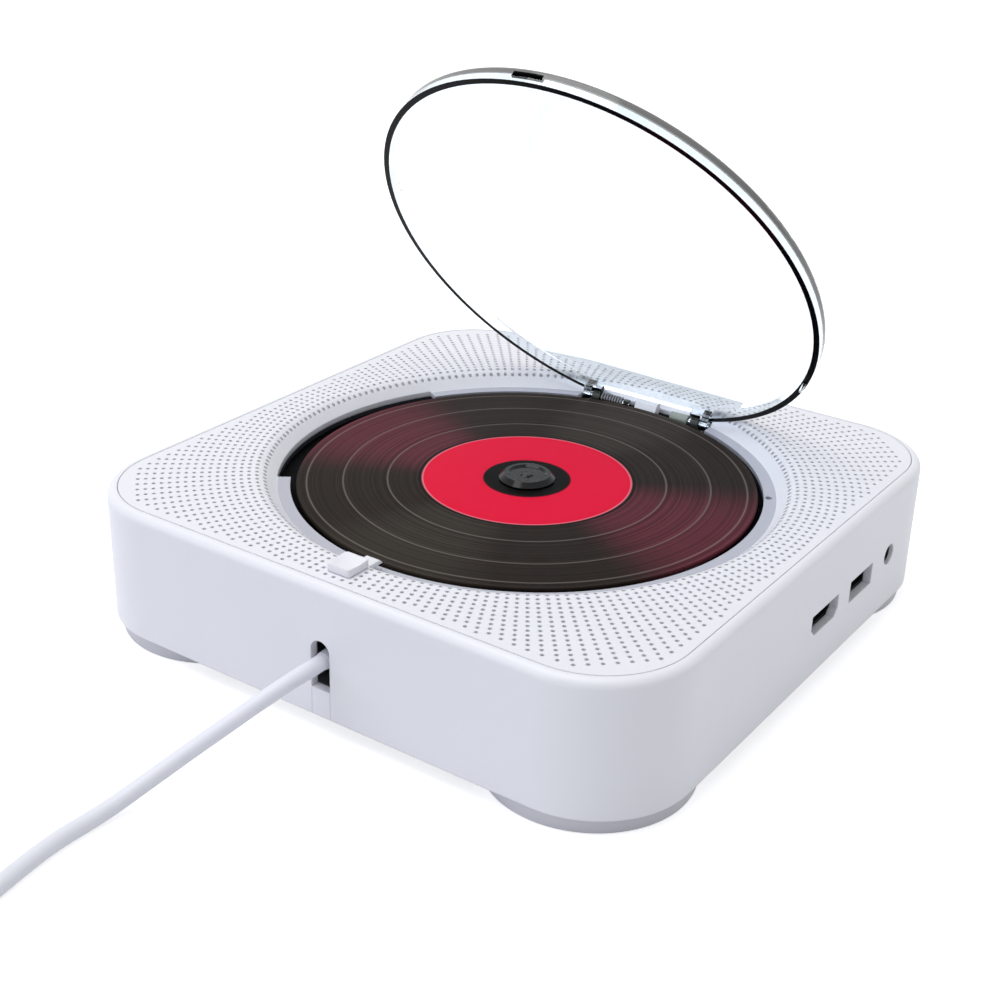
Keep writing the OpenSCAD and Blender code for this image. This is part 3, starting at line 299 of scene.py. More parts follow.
# Case: one injection moulding in white ABS with a satin skin, open at the back for the cover. Its
# side walls, rounded rim and the cut-outs for the sockets, cord and buttons are all of a piece.
satin_white = "#ECEDF2"
satin_deeper = "#E9EAEF"
edge_round = 0.5 * MM

# Satin ABS spreads its highlights into soft bands, and its moulded edges catch a thin light line.
satin_abs = moulded("Moulded ABS, satin white", satin_white, satin_deeper, 0.4, 0.5 * MM, 0.006 * MM)
tree = satin_abs.node_tree
rounding = add(tree, "Bevel", {"Radius": edge_round}, samples=4)
relief = next(node for node in tree.nodes if node.type == "BUMP")
tree.links.new(rounding.outputs["Normal"], relief.inputs["Normal"])
dress(satin_abs, "case_shell", "slot_filler", "back_cover", "lid_stop",
      "button_1", "button_2", "button_3", "button_4", "button_5")


# Feet and pads: four round feet in grey-white ABS, each on a stem through the back cover, with a
# soft thermoplastic pad underneath that keeps the player from sliding.
foot_at = 57 * MM
foot_profile = [
    (0, 4.5), (23.4, 4.5), (23.4, 4.05), (24.5, 3.9), (24.8, 3.65), (24.8, 0.5), (24.65, 0.2),
    (24.35, 0.08), (22, 0.08), (22, 0.85), (0, 0.85),
]


def begin(name):
    """Leaves only the newly added primitive selected and named, ready for edit mode."""
    piece = bpy.context.object
    piece.name = name
    bpy.ops.object.mode_set(mode="EDIT")
    bpy.ops.mesh.select_all(action="SELECT")
    return piece


def finished(piece):
    """Makes the normals point outwards and puts the piece's place into its mesh."""
    bpy.ops.mesh.select_all(action="SELECT")
    bpy.ops.mesh.normals_make_consistent(inside=False)
    bpy.ops.object.mode_set(mode="OBJECT")
    bpy.ops.object.transform_apply(location=True, rotation=True, scale=True)
    return piece


def spun(name, profile, steps=180):
    """Draws a profile of (radius, height) points from one vertex, and spins it round the Z axis."""
    bpy.ops.object.select_all(action="DESELECT")
    bpy.ops.mesh.primitive_plane_add(size=MM, location=(0, 0, 0))
    piece = begin(name)
    bpy.ops.mesh.merge(type="CENTER")
    bpy.ops.transform.translate(value=(profile[0][0], 0, profile[0][1]))
    for (r0, z0), (r1, z1) in zip(profile, profile[1:]):
        bpy.ops.mesh.extrude_region_move(TRANSFORM_OT_translate={"value": (r1 - r0, 0, z1 - z0)})
    bpy.ops.mesh.select_all(action="SELECT")
    bpy.ops.mesh.spin(steps=steps, angle=2 * pi, center=(0, 0, 0), axis=(0, 0, 1))
    bpy.ops.mesh.select_all(action="SELECT")
    bpy.ops.mesh.remove_doubles(threshold=0.001 * MM)
    return finished(piece)


feet = spun("round_feet", [(r * MM, z * MM) for r, z in foot_profile], steps=96)
bpy.ops.object.mode_set(mode="EDIT")
bpy.ops.mesh.select_all(action="SELECT")
bpy.ops.transform.translate(value=(foot_at, foot_at, 0))
for way in ((-2 * foot_at, 0, 0), (0, -2 * foot_at, 0), (2 * foot_at, 0, 0)):
    bpy.ops.mesh.duplicate_move(TRANSFORM_OT_translate={"value": way})
finished(feet)
bpy.ops.object.shade_smooth_by_angle(angle=radians(30))
feet.data.materials.append(moulded("Moulded ABS, pale grey", "#D2D2D8", "#CBCBD1", 0.5, 0.5 * MM, 0.01 * MM))
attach(feet, "case")
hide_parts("feet")
dress(moulded("Thermoplastic rubber, grey", "#A9AAB0", "#9C9DA3", 0.75, 0.7 * MM, 0.03 * MM), "foot_pads")


# Deck: a white ABS skin with two thousand sound holes, in columns that fan out from the well. At
# the well it rounds over into a slope and ends in a flat ledge round the disc, coloured grey as painted shade.
deck_z = 39 * MM
skin = 1.2 * MM
panel_half = 80.25 * MM
panel_corner = 22.25 * MM
well_rim = 70.9 * MM
slope_round = 5.3 * MM
slope_angle = 45
ledge_r = 64.7 * MM
ledge_z = 35 * MM
ledge_bore = 61.5 * MM
lip_reach = 74 * MM
hole_r = 0.475 * MM
hole_sides = 10
hole_columns = 200
hole_rings = 17
first_ring = 67.77 * MM
ring_step = 1.98 * MM
hole_inset = 1.875 * MM
recess_from = radians(150)
recess_to = radians(217)
recess_r = 65 * MM
bay = (21.2 * MM, 57.5 * MM, 63.9 * MM)
latch_slot = (2.4 * MM, -75.5 * MM, -66 * MM)
peg_hole = (0.9 * MM, 55.617 * MM, 28.952 * MM)


def cut(piece, tool, operation="DIFFERENCE"):
    """Cuts a piece with a solid, or adds the solid to it, and drops the solid."""
    boolean = piece.modifiers.new("cut", "BOOLEAN")
    boolean.object = tool
    boolean.operation = operation
    boolean.solver = "MANIFOLD"
    bpy.ops.object.select_all(action="DESELECT")
    piece.select_set(True)
    bpy.context.view_layer.objects.active = piece
    bpy.ops.object.modifier_apply(modifier="cut")
    bpy.data.objects.remove(tool)


def block(name, low, high):
    """A block between two corners, to cut with or to shape further."""
    bpy.ops.object.select_all(action="DESELECT")
    middle = [(a + b) / 2 for a, b in zip(low, high)]
    bpy.ops.mesh.primitive_cube_add(size=1, location=middle, scale=[b - a for a, b in zip(low, high)])
    return finished(begin(name))


def rod(name, radius, place, low, high, sides=32):
    """A cutting rod along Z."""
    bpy.ops.object.select_all(action="DESELECT")
    bpy.ops.mesh.primitive_cylinder_add(vertices=sides, radius=radius, depth=high - low,
                                        location=(*place, (low + high) / 2))
    return finished(begin(name))


bpy.ops.object.select_all(action="DESELECT")
bpy.ops.mesh.primitive_plane_add(size=2 * panel_half, location=(0, 0, deck_z - skin))
deck = begin("sound_deck")
bpy.ops.mesh.bevel(offset=panel_corner, segments=24, affect="VERTICES")
bpy.ops.mesh.extrude_region_move(TRANSFORM_OT_translate={"value": (0, 0, skin)})
bpy.ops.mesh.select_all(action="DESELECT")
finished(deck)
cut(deck, rod("well_cutter", well_rim + 0.5 * MM, (0, 0), deck_z - 2 * skin, deck_z + skin, 180))

lip_profile = [(lip_reach, deck_z)] + [
    (well_rim - slope_round * sin(radians(a)), deck_z - slope_round * (1 - cos(radians(a))))
    for a in range(0, slope_angle + 1, 5)
] + [(ledge_r, ledge_z), (ledge_bore, ledge_z)]
lip = spun("well_lip", lip_profile)
wall = lip.modifiers.new("wall", "SOLIDIFY")
wall.thickness = skin
wall.offset = -1
wall.use_even_offset = True
bpy.ops.object.modifier_apply(modifier="wall")
cut(deck, lip, "UNION")

drill = rod("hole_drill", hole_r, (first_ring, 0), ledge_z + 0.5 * MM, deck_z + MM, hole_sides)
outward = drill.modifiers.new("outward", "ARRAY")
outward.count = hole_rings
outward.use_relative_offset = False
outward.use_constant_offset = True
outward.constant_offset_displace = (ring_step, 0, 0)
bpy.ops.object.empty_add()
column = bpy.context.object
column.rotation_euler.z = 2 * pi / hole_columns
around = drill.modifiers.new("around", "ARRAY")
around.count = hole_columns
around.use_relative_offset = False
around.use_object_offset = True
around.offset_object = column
bpy.ops.object.select_all(action="DESELECT")
drill.select_set(True)
bpy.context.view_layer.objects.active = drill
bpy.ops.object.modifier_apply(modifier="outward")
bpy.ops.object.modifier_apply(modifier="around")
bpy.data.objects.remove(column)


def has_hole(x, y):
    """True where the skin has a sound hole: inside its border, clear of the latch and the hinge."""
    across, along = sorted((abs(x), abs(y)))
    straight = panel_half - panel_corner
    room = panel_corner - hole_inset
    in_corner = hypot(across - straight, along - straight) < room
    inside = along < straight + room and (across < straight or in_corner)
    by_latch = abs(x) < latch_slot[0] + 2 * hole_r and latch_slot[1] - 2 * hole_r < y < 0
    by_hinge = abs(x) < bay[0] + 2 * hole_r and 0 < y < bay[2] + 2 * hole_r
    return inside and not by_latch and not by_hinge


bpy.ops.object.mode_set(mode="EDIT")
bpy.ops.mesh.select_all(action="DESELECT")
bpy.ops.object.mode_set(mode="OBJECT")
drill_size = 2 * hole_sides
corners = drill.data.vertices
for start in range(0, len(corners), drill_size):
    group = [corners[i] for i in range(start, start + drill_size)]
    x = sum(v.co.x for v in group) / drill_size
    y = sum(v.co.y for v in group) / drill_size
    for v in group:
        v.select = not has_hole(x, y)
bpy.ops.object.mode_set(mode="EDIT")
bpy.ops.mesh.select_mode(type="VERT")
bpy.ops.mesh.delete(type="VERT")
finished(drill)
cut(deck, drill)

low_cut = 30 * MM
high_cut = 41 * MM
cut(deck, block("hinge_cutter", (-bay[0], bay[1], low_cut), (bay[0], bay[2], high_cut)))
cut(deck, block("latch_cutter", (-latch_slot[0], latch_slot[1], low_cut),
                (latch_slot[0], latch_slot[2], high_cut)))
cut(deck, rod("peg_cutter", peg_hole[0], peg_hole[1:], low_cut, high_cut, 24))

# The finger recess is cut by a sector, swept round from an upright rectangle beside the disc. The
# spin runs clockwise from the X axis, so the sector is turned to the recess's far end.
bpy.ops.object.select_all(action="DESELECT")
bpy.ops.mesh.primitive_plane_add(size=1, location=(0, 0, 0))
recess = begin("recess_cutter")
bpy.ops.transform.resize(value=(recess_r - ledge_bore + 2 * MM, 6 * MM, 1), center_override=(0, 0, 0))
bpy.ops.transform.rotate(value=radians(90), orient_axis="X", center_override=(0, 0, 0))
bpy.ops.transform.translate(value=((recess_r + ledge_bore - 2 * MM) / 2, 0, 34 * MM))
bpy.ops.mesh.spin(steps=48, angle=recess_to - recess_from, center=(0, 0, 0), axis=(0, 0, 1))
bpy.ops.mesh.select_all(action="SELECT")
bpy.ops.mesh.remove_doubles(threshold=0.001 * MM)
finished(recess)
recess.data.transform(Matrix.Rotation(recess_to, 4, "Z"))
cut(deck, recess)

bpy.ops.object.select_all(action="DESELECT")
deck.select_set(True)
bpy.context.view_layer.objects.active = deck
bpy.ops.object.shade_smooth_by_angle(angle=radians(24))
# The ledge is the deck's white ABS given a flat grey as painted shade, so that the well reads darker than the
# deck.
ledge_painted_shade = moulded("Moulded ABS, grey painted shade", "#BABCC6", "#B3B5BF", 0.55, 0.4 * MM, 0.008 * MM)
deck.data.materials.clear()
deck.data.materials.append(satin_abs)
deck.data.materials.append(ledge_painted_shade)
sort_faces(deck, lambda c, n: c.z < ledge_z + 0.02 * MM and hypot(c.x, c.y) < ledge_r + 0.2 * MM)
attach(deck, "case")
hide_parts("grille_panel")


# Baffle and well: black ABS mouldings under the deck. They close the sound holes to the eye and
# line the finger recess, so they are dull and take up all light.
dull_black = moulded("Moulded ABS, dull black", "#0B0B0D", "#08080A", 0.85, 0.6 * MM, 0.01 * MM,
                     Specular_IOR_Level=0.08)
baffle_black = moulded("Moulded ABS, charcoal", "#3A3C44", "#33353C", 0.8, 0.6 * MM, 0.01 * MM,
                       Specular_IOR_Level=0.1)
dress(dull_black, "well_tray")
dress(baffle_black, "speaker_baffle")


# Speakers: pressed steel baskets painted black, paper cones with a rubber surround, and a woven
# cloth glued over each opening in the baffle.
basket_paint = moulded("Painted steel, black", "#16171A", "#1C1D20", 0.38, 0.8 * MM, 0.01 * MM)
cone_paper = moulded("Pressed paper, black", "#1B1B1C", "#262627", 0.9, 0.35 * MM, 0.05 * MM)
dress(basket_paint, "speaker_left", "speaker_right")
dress(cone_paper, "speaker_cones")

# The weave is plain, with threads 0.45 mm apart, which shows as a faint check.
thread = 0.45 * MM
grille_cloth, tree, shader = new_finish("Woven polyester, black", Roughness=0.92, Specular_IOR_Level=0.15)
place = add(tree, "TexCoord").outputs["Object"]
warp = add(tree, "TexWave", {"Vector": place, "Scale": 0.05 / thread}, bands_direction="X")
weft = add(tree, "TexWave", {"Vector": place, "Scale": 0.05 / thread}, bands_direction="Y")
weave = add(tree, "Math", {0: warp.outputs["Fac"], 1: weft.outputs["Fac"]}, operation="MULTIPLY")
tone = add(tree, "Mix", {"Factor": weave.outputs["Value"], "A": linear("#1A1B1E"), "B": linear("#3C3E45")},
           data_type="RGBA")
relief = add(tree, "Bump", {"Height": weave.outputs["Value"], "Distance": 0.1 * MM})
tree.links.new(tone.outputs["Result"], shader.inputs["Base Color"])
tree.links.new(relief.outputs["Normal"], shader.inputs["Normal"])
dress(grille_cloth, "speaker_cloths")


# Disc: a 120 mm polycarbonate disc printed like a small record, dark brown with a plain red label,
# and a wine-red and a grey sheen laid on in sectors as painted reflection. The print is screened over a fine
# turned groove.
disc_r = 60 * MM
disc_under = 34.2 * MM
label_r = 27.3 * MM
hub_zone = 11.5 * MM
groove = 0.55 * MM
bright_rings = (57.3 * MM, 47.9 * MM, 36.4 * MM)
uneven_step = MM / 0.9
print_edge = 0.1 * MM

# The printed grooves are finer than the render can show, so they are drawn half a millimetre apart.
disc_print, tree, shader = new_finish("Screen-printed polycarbonate", IOR=1.58, Specular_IOR_Level=0.02,
                                      Roughness=0.36)
place = add(tree, "TexCoord").outputs["Object"]
flat = add(tree, "Mapping", {"Vector": place, "Scale": (1, 1, 0)})
radius = add(tree, "VectorMath", {0: flat.outputs["Vector"]}, operation="LENGTH")
share = add(tree, "Math", {0: radius.outputs["Value"], 1: disc_r}, operation="DIVIDE")
parts = add(tree, "SeparateXYZ", {"Vector": place})
angle = add(tree, "Math", {0: parts.outputs["Y"], 1: parts.outputs["X"]}, operation="ARCTAN2")
doubled = add(tree, "Math", {0: angle.outputs["Value"], 1: 2.0}, operation="MULTIPLY")
# Painted reflection: a wine-red sheen in the two sectors along X and a grey sheen in the two along Y; both turn
# with the disc.
sheen_facing = add(tree, "Math", {0: doubled.outputs["Value"]}, operation="COSINE")
red_sheen_share = add(tree, "MapRange", {"Value": sheen_facing.outputs["Value"], "From Min": 0.35, "From Max": 1.0},
                interpolation_type="SMOOTHSTEP")
grey_sheen_share = add(tree, "MapRange", {"Value": sheen_facing.outputs["Value"], "From Min": -0.55, "From Max": -1.0,
                                    "To Max": 0.3}, interpolation_type="SMOOTHSTEP")
dark_to_red_sheen = add(tree, "Mix", {"Factor": red_sheen_share.outputs["Result"], "A": linear("#261F1B"),
                                "B": linear("#582932")}, data_type="RGBA")
with_grey_sheen = add(tree, "Mix", {"Factor": grey_sheen_share.outputs["Result"], "A": dark_to_red_sheen.outputs["Result"],
                              "B": linear("#4C473F")}, data_type="RGBA")
turning = add(tree, "Math", {0: radius.outputs["Value"], 1: 2 * pi / groove}, operation="MULTIPLY")
wave = add(tree, "Math", {0: turning.outputs["Value"]}, operation="SINE")
along = add(tree, "Math", {0: radius.outputs["Value"], 1: 1 / uneven_step}, operation="MULTIPLY")
uneven = add(tree, "TexNoise", {"W": along.outputs["Value"], "Scale": 1.0}, noise_dimensions="1D")
ridge = add(tree, "Math", {0: wave.outputs["Value"], 1: uneven.outputs["Fac"]}, operation="MULTIPLY")
lift = add(tree, "MapRange", {"Value": ridge.outputs["Value"], "From Min": -0.6, "From Max": 0.6,
                              "To Min": 0.78, "To Max": 1.25})
patch = add(tree, "MapRange", {"Value": uneven.outputs["Fac"], "From Min": 0.3, "From Max": 0.7,
                               "To Min": 0.72, "To Max": 1.25})
lift = add(tree, "Math", {0: lift.outputs["Result"], 1: patch.outputs["Result"]}, operation="MULTIPLY")
grooved = add(tree, "VectorMath", {0: with_grey_sheen.outputs["Result"], "Scale": lift.outputs["Value"]},
              operation="SCALE")
vinyl = grooved.outputs["Vector"]
for at in bright_rings:
    off = add(tree, "Math", {0: radius.outputs["Value"], 1: at}, operation="SUBTRACT")
    away = add(tree, "Math", {0: off.outputs["Value"]}, operation="ABSOLUTE")
    ring = add(tree, "MapRange", {"Value": away.outputs["Value"], "From Min": 0.1 * MM, "From Max": 0.35 * MM,
                                  "To Min": 0.4, "To Max": 0.0})
    vinyl = add(tree, "Mix", {"Factor": ring.outputs["Result"], "A": vinyl, "B": linear("#8A817B")},
                data_type="RGBA").outputs["Result"]
label = add(tree, "ValToRGB", {"Fac": share.outputs["Value"]})
stops = label.color_ramp.elements
stops[0].position = (hub_zone - print_edge) / disc_r
stops[0].color = linear("#070606")
stops[1].position = (hub_zone + print_edge) / disc_r
stops[1].color = linear("#E0163B")
for past, colour in ((-0.25, "#E0163B"), (0, "#F4909C"), (0.3, "#1A0A0B"), (1.1, "#0C0A09")):
    stop = stops.new((label_r + past * MM) / disc_r)
    stop.color = linear(colour)
outside = add(tree, "MapRange", {"Value": radius.outputs["Value"], "From Min": label_r + 0.9 * MM,
                                 "From Max": label_r + 1.3 * MM})
printed = add(tree, "Mix", {"Factor": outside.outputs["Result"], "A": label.outputs["Color"], "B": vinyl},
              data_type="RGBA")
# Underneath, the bare data side shows its metal through the plastic; its pale tone and bands of soft colour are
# a painted reflection, set in sectors round the disc.
painted_rainbow_share = add(tree, "MapRange", {"Value": sheen_facing.outputs["Value"], "From Min": -1.0})
bands = add(tree, "ValToRGB", {"Fac": painted_rainbow_share.outputs["Result"]})
bands.color_ramp.elements[0].color = linear("#B9C4CE")
bands.color_ramp.elements[1].color = linear("#C9B8CC")
bands.color_ramp.elements.new(0.5).color = linear("#B7CDBE")
upper = add(tree, "Math", {0: parts.outputs["Z"], 1: disc_under}, operation="GREATER_THAN")
face = add(tree, "Mix", {"Factor": upper.outputs["Value"], "A": bands.outputs["Color"],
                         "B": printed.outputs["Result"]}, data_type="RGBA")
relief = add(tree, "Bump", {"Height": ridge.outputs["Value"], "Distance": 0.01 * MM, "Strength": 0.6})
tree.links.new(face.outputs["Result"], shader.inputs["Base Color"])
tree.links.new(relief.outputs["Normal"], shader.inputs["Normal"])
dress(disc_print, "disc")


# Turntable: a gloss black hub and platform on a steel spindle, with three steel balls that hold
# the disc by its hole, and a felted rubber mat under the disc.
gloss_black = moulded("Moulded polycarbonate, gloss black", "#060607", "#08080A", 0.12, 2 * MM, 0.004 * MM,
                      IOR=1.58, Specular_IOR_Level=0.2)
dark_rubber = moulded("Moulded rubber, black", "#1D1D1F", "#252527", 0.8, 0.5 * MM, 0.04 * MM)
dress(gloss_black, "turntable")
dress(dark_rubber, "turntable_mat", "dampers", "lid_switch")

# Hardened balls, rods and spindles are ground, so they mirror with hardly any grain.
ground_steel, tree, shader = new_finish("Ground steel, bright", Metallic=1.0, Base_Color=linear("#C4C6CA"))
place = add(tree, "TexCoord").outputs["Object"]
ground = add(tree, "TexNoise", {"Vector": place, "Scale": 1 / (0.6 * MM), "Detail": 2.0})
gloss = add(tree, "MapRange", {"Value": ground.outputs["Fac"], "To Min": 0.1, "To Max": 0.2})
tree.links.new(gloss.outputs["Result"], shader.inputs["Roughness"])
dress(ground_steel, "centring_balls", "spindle", "guide_rods", "hinge_pins")


# Lid: a shallow round cap, injection moulded in clear acrylic, with a catch window in front, a peg
# for the lid switch and two ears that swing on steel pins. Its cut edges, the window's sides and a
# line on the rim's corner are near-black, and the rest of the rim's corner grey: painted shade
# where the clear plastic looks dark.
open_angle = 56
hinge = Vector((0, 61.6, 34.7)) * MM
rim_z = 35.4 * MM
rim_corner_z = 38.8 * MM
shaded_rim_z = 37.3 * MM
lid_r = 63.5 * MM
lid_wall = 1.6 * MM
window_half = 4.3 * MM
rim_corner = 1.25 * MM
rim_steepest = 0.93

to_closed = Matrix.Rotation(radians(open_angle), 3, "X")
to_open = to_closed.inverted()

lid = whole_copy("lid", "clear_lid")
bpy.ops.object.mode_set(mode="EDIT")
for height in (shaded_rim_z, rim_corner_z - 0.25 * MM):
    bpy.ops.mesh.select_all(action="SELECT")
    plane_at = hinge + to_open @ (Vector((0, 0, height)) - hinge)
    bpy.ops.mesh.bisect(plane_co=plane_at, plane_no=to_open @ Vector((0, 0, 1)))
bpy.ops.object.mode_set(mode="OBJECT")
bpy.ops.object.shade_smooth_by_angle(angle=radians(30))


def closed_place(c):
    """Where a point of the open lid is when the lid is closed."""
    return hinge + to_closed @ (c - hinge)


def is_cut_edge(c, n):
    return abs(closed_place(c).z - rim_z) < 0.06 * MM and (to_closed @ n).z < -0.9


def is_window_side(c, n):
    p = closed_place(c)
    in_wall = lid_r - lid_wall + 0.05 * MM < hypot(p.x, p.y) < lid_r - 0.05 * MM
    return in_wall and abs(p.x) < window_half and p.y < 0 and p.z < rim_corner_z


def faces_rim_corner(c, n, least):
    """True on the rim's outer corner, where the face looks upwards by at least so much."""
    p, m = closed_place(c), to_closed @ n
    return hypot(p.x, p.y) > lid_r - rim_corner and p.z > shaded_rim_z and least < m.z < rim_steepest


# Clear acrylic passes light with a trace of blue, and lets lamps through, so that it throws no
# dark shadow on the deck behind it.
clear_acrylic, tree, shader = new_finish(
    "Clear acrylic, polished", Transmission_Weight=1.0, IOR=1.49, Base_Color=linear("#F1F8FC"), Roughness=0.0,
    Specular_IOR_Level=0.2,
)
lamp_ray = add(tree, "LightPath").outputs["Is Shadow Ray"]
passing = add(tree, "BsdfTransparent", {"Color": linear("#F4F7FC")})
glass = add(tree, "MixShader", {0: lamp_ray, 1: shader.outputs["BSDF"], 2: passing.outputs["BSDF"]})
tree.links.new(glass.outputs["Shader"], tree.nodes["Material Output"].inputs["Surface"])
# Painted shade: a near-black, barely reflecting finish for the faces where the clear plastic looks dark.
acrylic_edge_painted_shade, tree, shader = new_finish("Acrylic edge, painted shade", Base_Color=linear("#050506"), IOR=1.49,
                                        Roughness=0.3, Specular_IOR_Level=0.06)
# Painted shade: the rim's rounded corner gets a part-opaque grey that stands in for the dark the curved clear
# rim shows.
acrylic_rim_painted_shade, tree, shader = new_finish(
    "Acrylic rim, grey painted shade", Transmission_Weight=0.35, IOR=1.49, Base_Color=linear("#8C8C8A"), Roughness=0.1,
    Specular_IOR_Level=0.3,
)
# The grey is painted shade on the outside only: from within the plastic the rim is as clear as the rest.
from_within = add(tree, "NewGeometry").outputs["Backfacing"]
inner = add(tree, "BsdfGlass", {"Color": linear("#FAFCFF"), "Roughness": 0.0, "IOR": 1.49})
sided = add(tree, "MixShader", {0: from_within, 1: shader.outputs["BSDF"], 2: inner.outputs["BSDF"]})
tree.links.new(sided.outputs["Shader"], tree.nodes["Material Output"].inputs["Surface"])
for material in (clear_acrylic, acrylic_rim_painted_shade, acrylic_edge_painted_shade):
    lid.data.materials.append(material)
sort_faces(
    lid,
    lambda c, n: faces_rim_corner(c, n, -0.1),
    lambda c, n: is_cut_edge(c, n) or is_window_side(c, n) or faces_rim_corner(c, n, 0.62),
)
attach(lid, "lid")
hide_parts("lid")

# A black catch plate lines the window's back and ceiling, a dark plate put in as painted shade so that
# the window reads dark, and the latch's hook stops just short of it.
catch_low = (-4.18 * MM, -62.47 * MM, 36.92 * MM)
catch_high = (4.18 * MM, -61.97 * MM, 38.36 * MM)
catch_roof_z = 38.1 * MM
catch_roof = 0.83 * MM
catch = block("window_shade_plate", catch_low, catch_high)
bpy.ops.object.mode_set(mode="EDIT")
bpy.ops.mesh.select_all(action="SELECT")
bpy.ops.mesh.bisect(plane_co=(0, 0, catch_roof_z), plane_no=(0, 0, 1))
bpy.ops.mesh.select_all(action="DESELECT")
bpy.ops.object.mode_set(mode="OBJECT")
for face in catch.data.polygons:
    face.select = face.normal.y < -0.9 and face.center.z > catch_roof_z
bpy.ops.object.mode_set(mode="EDIT")
bpy.ops.mesh.select_mode(type="FACE")
bpy.ops.mesh.extrude_region_move(TRANSFORM_OT_translate={"value": (0, -catch_roof, 0)})
bpy.ops.mesh.select_mode(type="VERT")
finished(catch)
catch.data.transform(Matrix.Translation(hinge) @ to_open.to_4x4() @ Matrix.Translation(-hinge))
bpy.ops.object.shade_smooth_by_angle(angle=radians(30))
catch.data.materials.append(dull_black)
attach(catch, "lid")


# Hinge: a glass-filled nylon bracket on the well's floor, a torsion spring of steel wire, and an
# oil damper in a pale housing that lets the lid rise slowly.
bracket_nylon = moulded("Glass-filled nylon, grey-green", "#353A35", "#2C312C", 0.5, 0.4 * MM, 0.03 * MM)
damper_nylon = moulded("Moulded nylon, pale grey-green", "#98A196", "#8B948A", 0.45, 0.5 * MM, 0.01 * MM)
spring_steel = moulded("Spring steel wire", "#8F9196", "#85878C", 0.3, 0.3 * MM, 0.01 * MM, Metallic=1.0)
dress(bracket_nylon, "hinge_bracket")
dress(damper_nylon, "lid_damper")
dress(spring_steel, "lid_spring", "latch_spring")


# Latch: a white ABS tab with a shallow thumb dimple. It slides outwards in its slot against a
# spring, and pulls its hook out of the lid's catch window.
latch = whole_copy("latch", "latch_tab")
soften(latch, 0.35 * MM, angle=50)
latch.data.materials.append(satin_abs)
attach(latch, "latch")
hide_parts("latch")


# Sockets: an HDMI and a USB socket in folded steel shells and a round 3.5 mm jack, all soldered to
# one board behind the wall's cut-outs.
tongue_black = moulded("Moulded nylon, black", "#0E0E10", "#141416", 0.6, 0.4 * MM, 0.01 * MM,
                       Specular_IOR_Level=0.2)
# Painted shade: the socket shells are plated steel darkened for their place deep in the wall's cut-outs.
shell_in_painted_shade, tree, shader = new_finish("Plated steel, painted shade", Metallic=1.0, Base_Color=linear("#3A3B3F"))
place = add(tree, "TexCoord").outputs["Object"]
rolled = add(tree, "TexNoise", {"Vector": place, "Scale": 1 / (0.4 * MM), "Detail": 2.0})
gloss = add(tree, "MapRange", {"Value": rolled.outputs["Fac"], "To Min": 0.35, "To Max": 0.5})
tree.links.new(gloss.outputs["Result"], shader.inputs["Roughness"])
dress(shell_in_painted_shade, "hdmi_socket", "usb_socket")
dress(tongue_black, "audio_jack", "power_socket")


# Boards: glass-epoxy laminate under green solder mask, with copper tracks that show as paler lines,
# moulded components on top, and a flat ribbon to the button board.
track = 2.4 * MM
solder_mask, tree, shader = new_finish("Glass-epoxy board, green mask", Roughness=0.35, IOR=1.5)
place = add(tree, "TexCoord").outputs["Object"]
tracks = add(tree, "TexBrick", {"Vector": place, "Scale": 1 / track, "Mortar Size": 0.06,
                                "Color1": linear("#1F5A36"), "Color2": linear("#1B5030"),
                                "Mortar": linear("#3E8A57")})
raised = add(tree, "Bump", {"Height": tracks.outputs["Fac"], "Distance": 0.03 * MM}, invert=True)
tree.links.new(tracks.outputs["Color"], shader.inputs["Base Color"])
tree.links.new(raised.outputs["Normal"], shader.inputs["Normal"])
dress(solder_mask, "main_board", "socket_board", "power_board", "button_board")
epoxy = moulded("Moulded epoxy, black", "#1B1C1E", "#242527", 0.55, 0.25 * MM, 0.02 * MM)
dress(epoxy, "board_components")

conductor = 1.25 * MM
ribbon_film, tree, shader = new_finish("Polyester ribbon, natural", Roughness=0.4)
place = add(tree, "TexCoord").outputs["Object"]
lines = add(tree, "TexWave", {"Vector": place, "Scale": 0.05 / conductor}, bands_direction="X")
tone = add(tree, "Mix", {"Factor": lines.outputs["Fac"], "A": linear("#DAD4C2"), "B": linear("#B9B2A0")},
           data_type="RGBA")
tree.links.new(tone.outputs["Result"], shader.inputs["Base Color"])
dress(ribbon_film, "button_ribbon")


# Mechanism: a pressed steel plate on rubber dampers, motors in drawn steel cans, a moulded pickup
# sled with a coated lens, and a train of acetal gears driven by a brass pinion.
dress(plated_steel, "chassis", "spindle_motor", "sled_motor", "case_screws", "damper_screws", "board_screws")
dress(tongue_black, "pickup_sled")
acetal = moulded("Moulded acetal, white", "#E6E4DC", "#DEDCD4", 0.35, 0.5 * MM, 0.008 * MM)
dress(acetal, "sled_rack", "compound_gear")
turned_brass = moulded("Turned brass", "#C9A24B", "#BD963F", 0.28, 0.3 * MM, 0.01 * MM, Metallic=1.0)
dress(turned_brass, "motor_pinion")

coated_lens, tree, shader = new_finish("Coated glass lens", Roughness=0.03, IOR=1.6, Coat_Weight=0.6)
place = add(tree, "TexCoord").outputs["Object"]
sheen = add(tree, "TexNoise", {"Vector": place, "Scale": 1 / (4 * MM), "Detail": 0.0})
tone = add(tree, "Mix", {"Factor": sheen.outputs["Fac"], "A": linear("#2C3A78"), "B": linear("#5B4B8C")},
           data_type="RGBA")
tree.links.new(tone.outputs["Result"], shader.inputs["Base Color"])
dress(coated_lens, "pickup_lens")


# Floor: a wide sheet of white studio paper. The camera, mirrors and glass see it a little brighter
# than the lamps make it, which hides its edge against the white behind and keeps the shadow.
floor_side = 8
floor_glow = 0.66

bpy.ops.object.select_all(action="DESELECT")
bpy.ops.mesh.primitive_plane_add(size=floor_side, location=(0, 0, 0))
floor = bpy.context.object
floor.name = "studio_floor"
paper, tree, shader = new_finish("Studio paper, white", Roughness=0.9, Specular_IOR_Level=0.0,
                                 Base_Color=linear("#DCDDE0"))


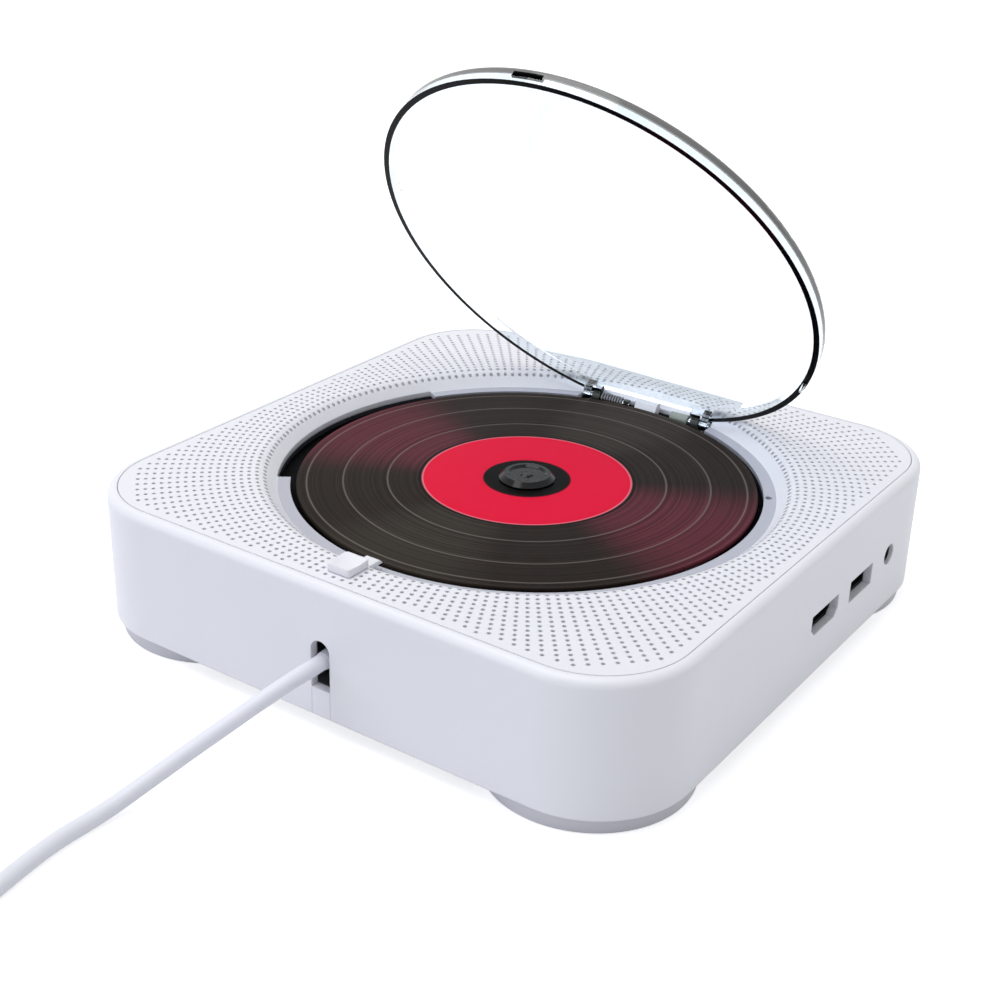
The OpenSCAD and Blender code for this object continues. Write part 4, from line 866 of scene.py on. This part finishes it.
def seen_by_eye(tree):
    """1 for rays that the camera sees straight, in a mirror or through glass, and 0 for all others."""
    path = add(tree, "LightPath").outputs
    seen = path["Is Camera Ray"]
    for kind in ("Is Glossy Ray", "Is Transmission Ray"):
        seen = add(tree, "Math", {0: seen, 1: path[kind]}, operation="MAXIMUM").outputs["Value"]
    direct = add(tree, "Math", {0: path["Diffuse Depth"], 1: 0.5}, operation="LESS_THAN")
    return add(tree, "Math", {0: seen, 1: direct.outputs["Value"]}, operation="MULTIPLY").outputs["Value"]


glow = add(tree, "Math", {0: seen_by_eye(tree), 1: floor_glow}, operation="MULTIPLY")
shader.inputs["Emission Color"].default_value = (1, 1, 1, 1)
tree.links.new(glow.outputs["Value"], shader.inputs["Emission Strength"])
floor.data.materials.append(paper)


# Light: a wide soft box over the deck, a second one low on the cord's side, a weak one low behind
# the sockets' side, and an even white room that lights less than the camera sees of it.
room_light = 0.57


def soft_box(name, place, size, power, colour):
    """A square lamp that faces the player."""
    bpy.ops.object.light_add(type="AREA", location=place)
    lamp = bpy.context.object
    lamp.name = name
    lamp.data.size = size
    lamp.data.energy = power
    lamp.data.color = linear(colour)[:3]
    lamp.rotation_euler = (Vector((0, 0, 0.02)) - Vector(place)).to_track_quat("-Z", "Y").to_euler()


soft_box("top_box", (-0.3, -0.2, 1.25), 1.0, 9.0, "#FFFFFF")
soft_box("side_box", (-0.9, -1.3, 0.55), 0.9, 4.2, "#DDE6FF")
soft_box("back_box", (0.4, 0.42, 0.12), 0.25, 0.1, "#FFFFFF")

room = bpy.data.worlds.new("white_room")
bpy.context.scene.world = room
room.use_nodes = True
tree = room.node_tree
background = tree.nodes["Background"]
seen = seen_by_eye(tree)
level = add(tree, "MapRange", {"Value": seen, "To Min": room_light, "To Max": 1.0})
tone = add(tree, "Mix", {"Factor": seen, "A": linear("#FAFAFD"), "B": (1, 1, 1, 1)}, data_type="RGBA")
tree.links.new(level.outputs["Result"], background.inputs["Strength"])
tree.links.new(tone.outputs["Result"], background.inputs["Color"])
bpy.context.scene.view_settings.view_transform = "Standard"
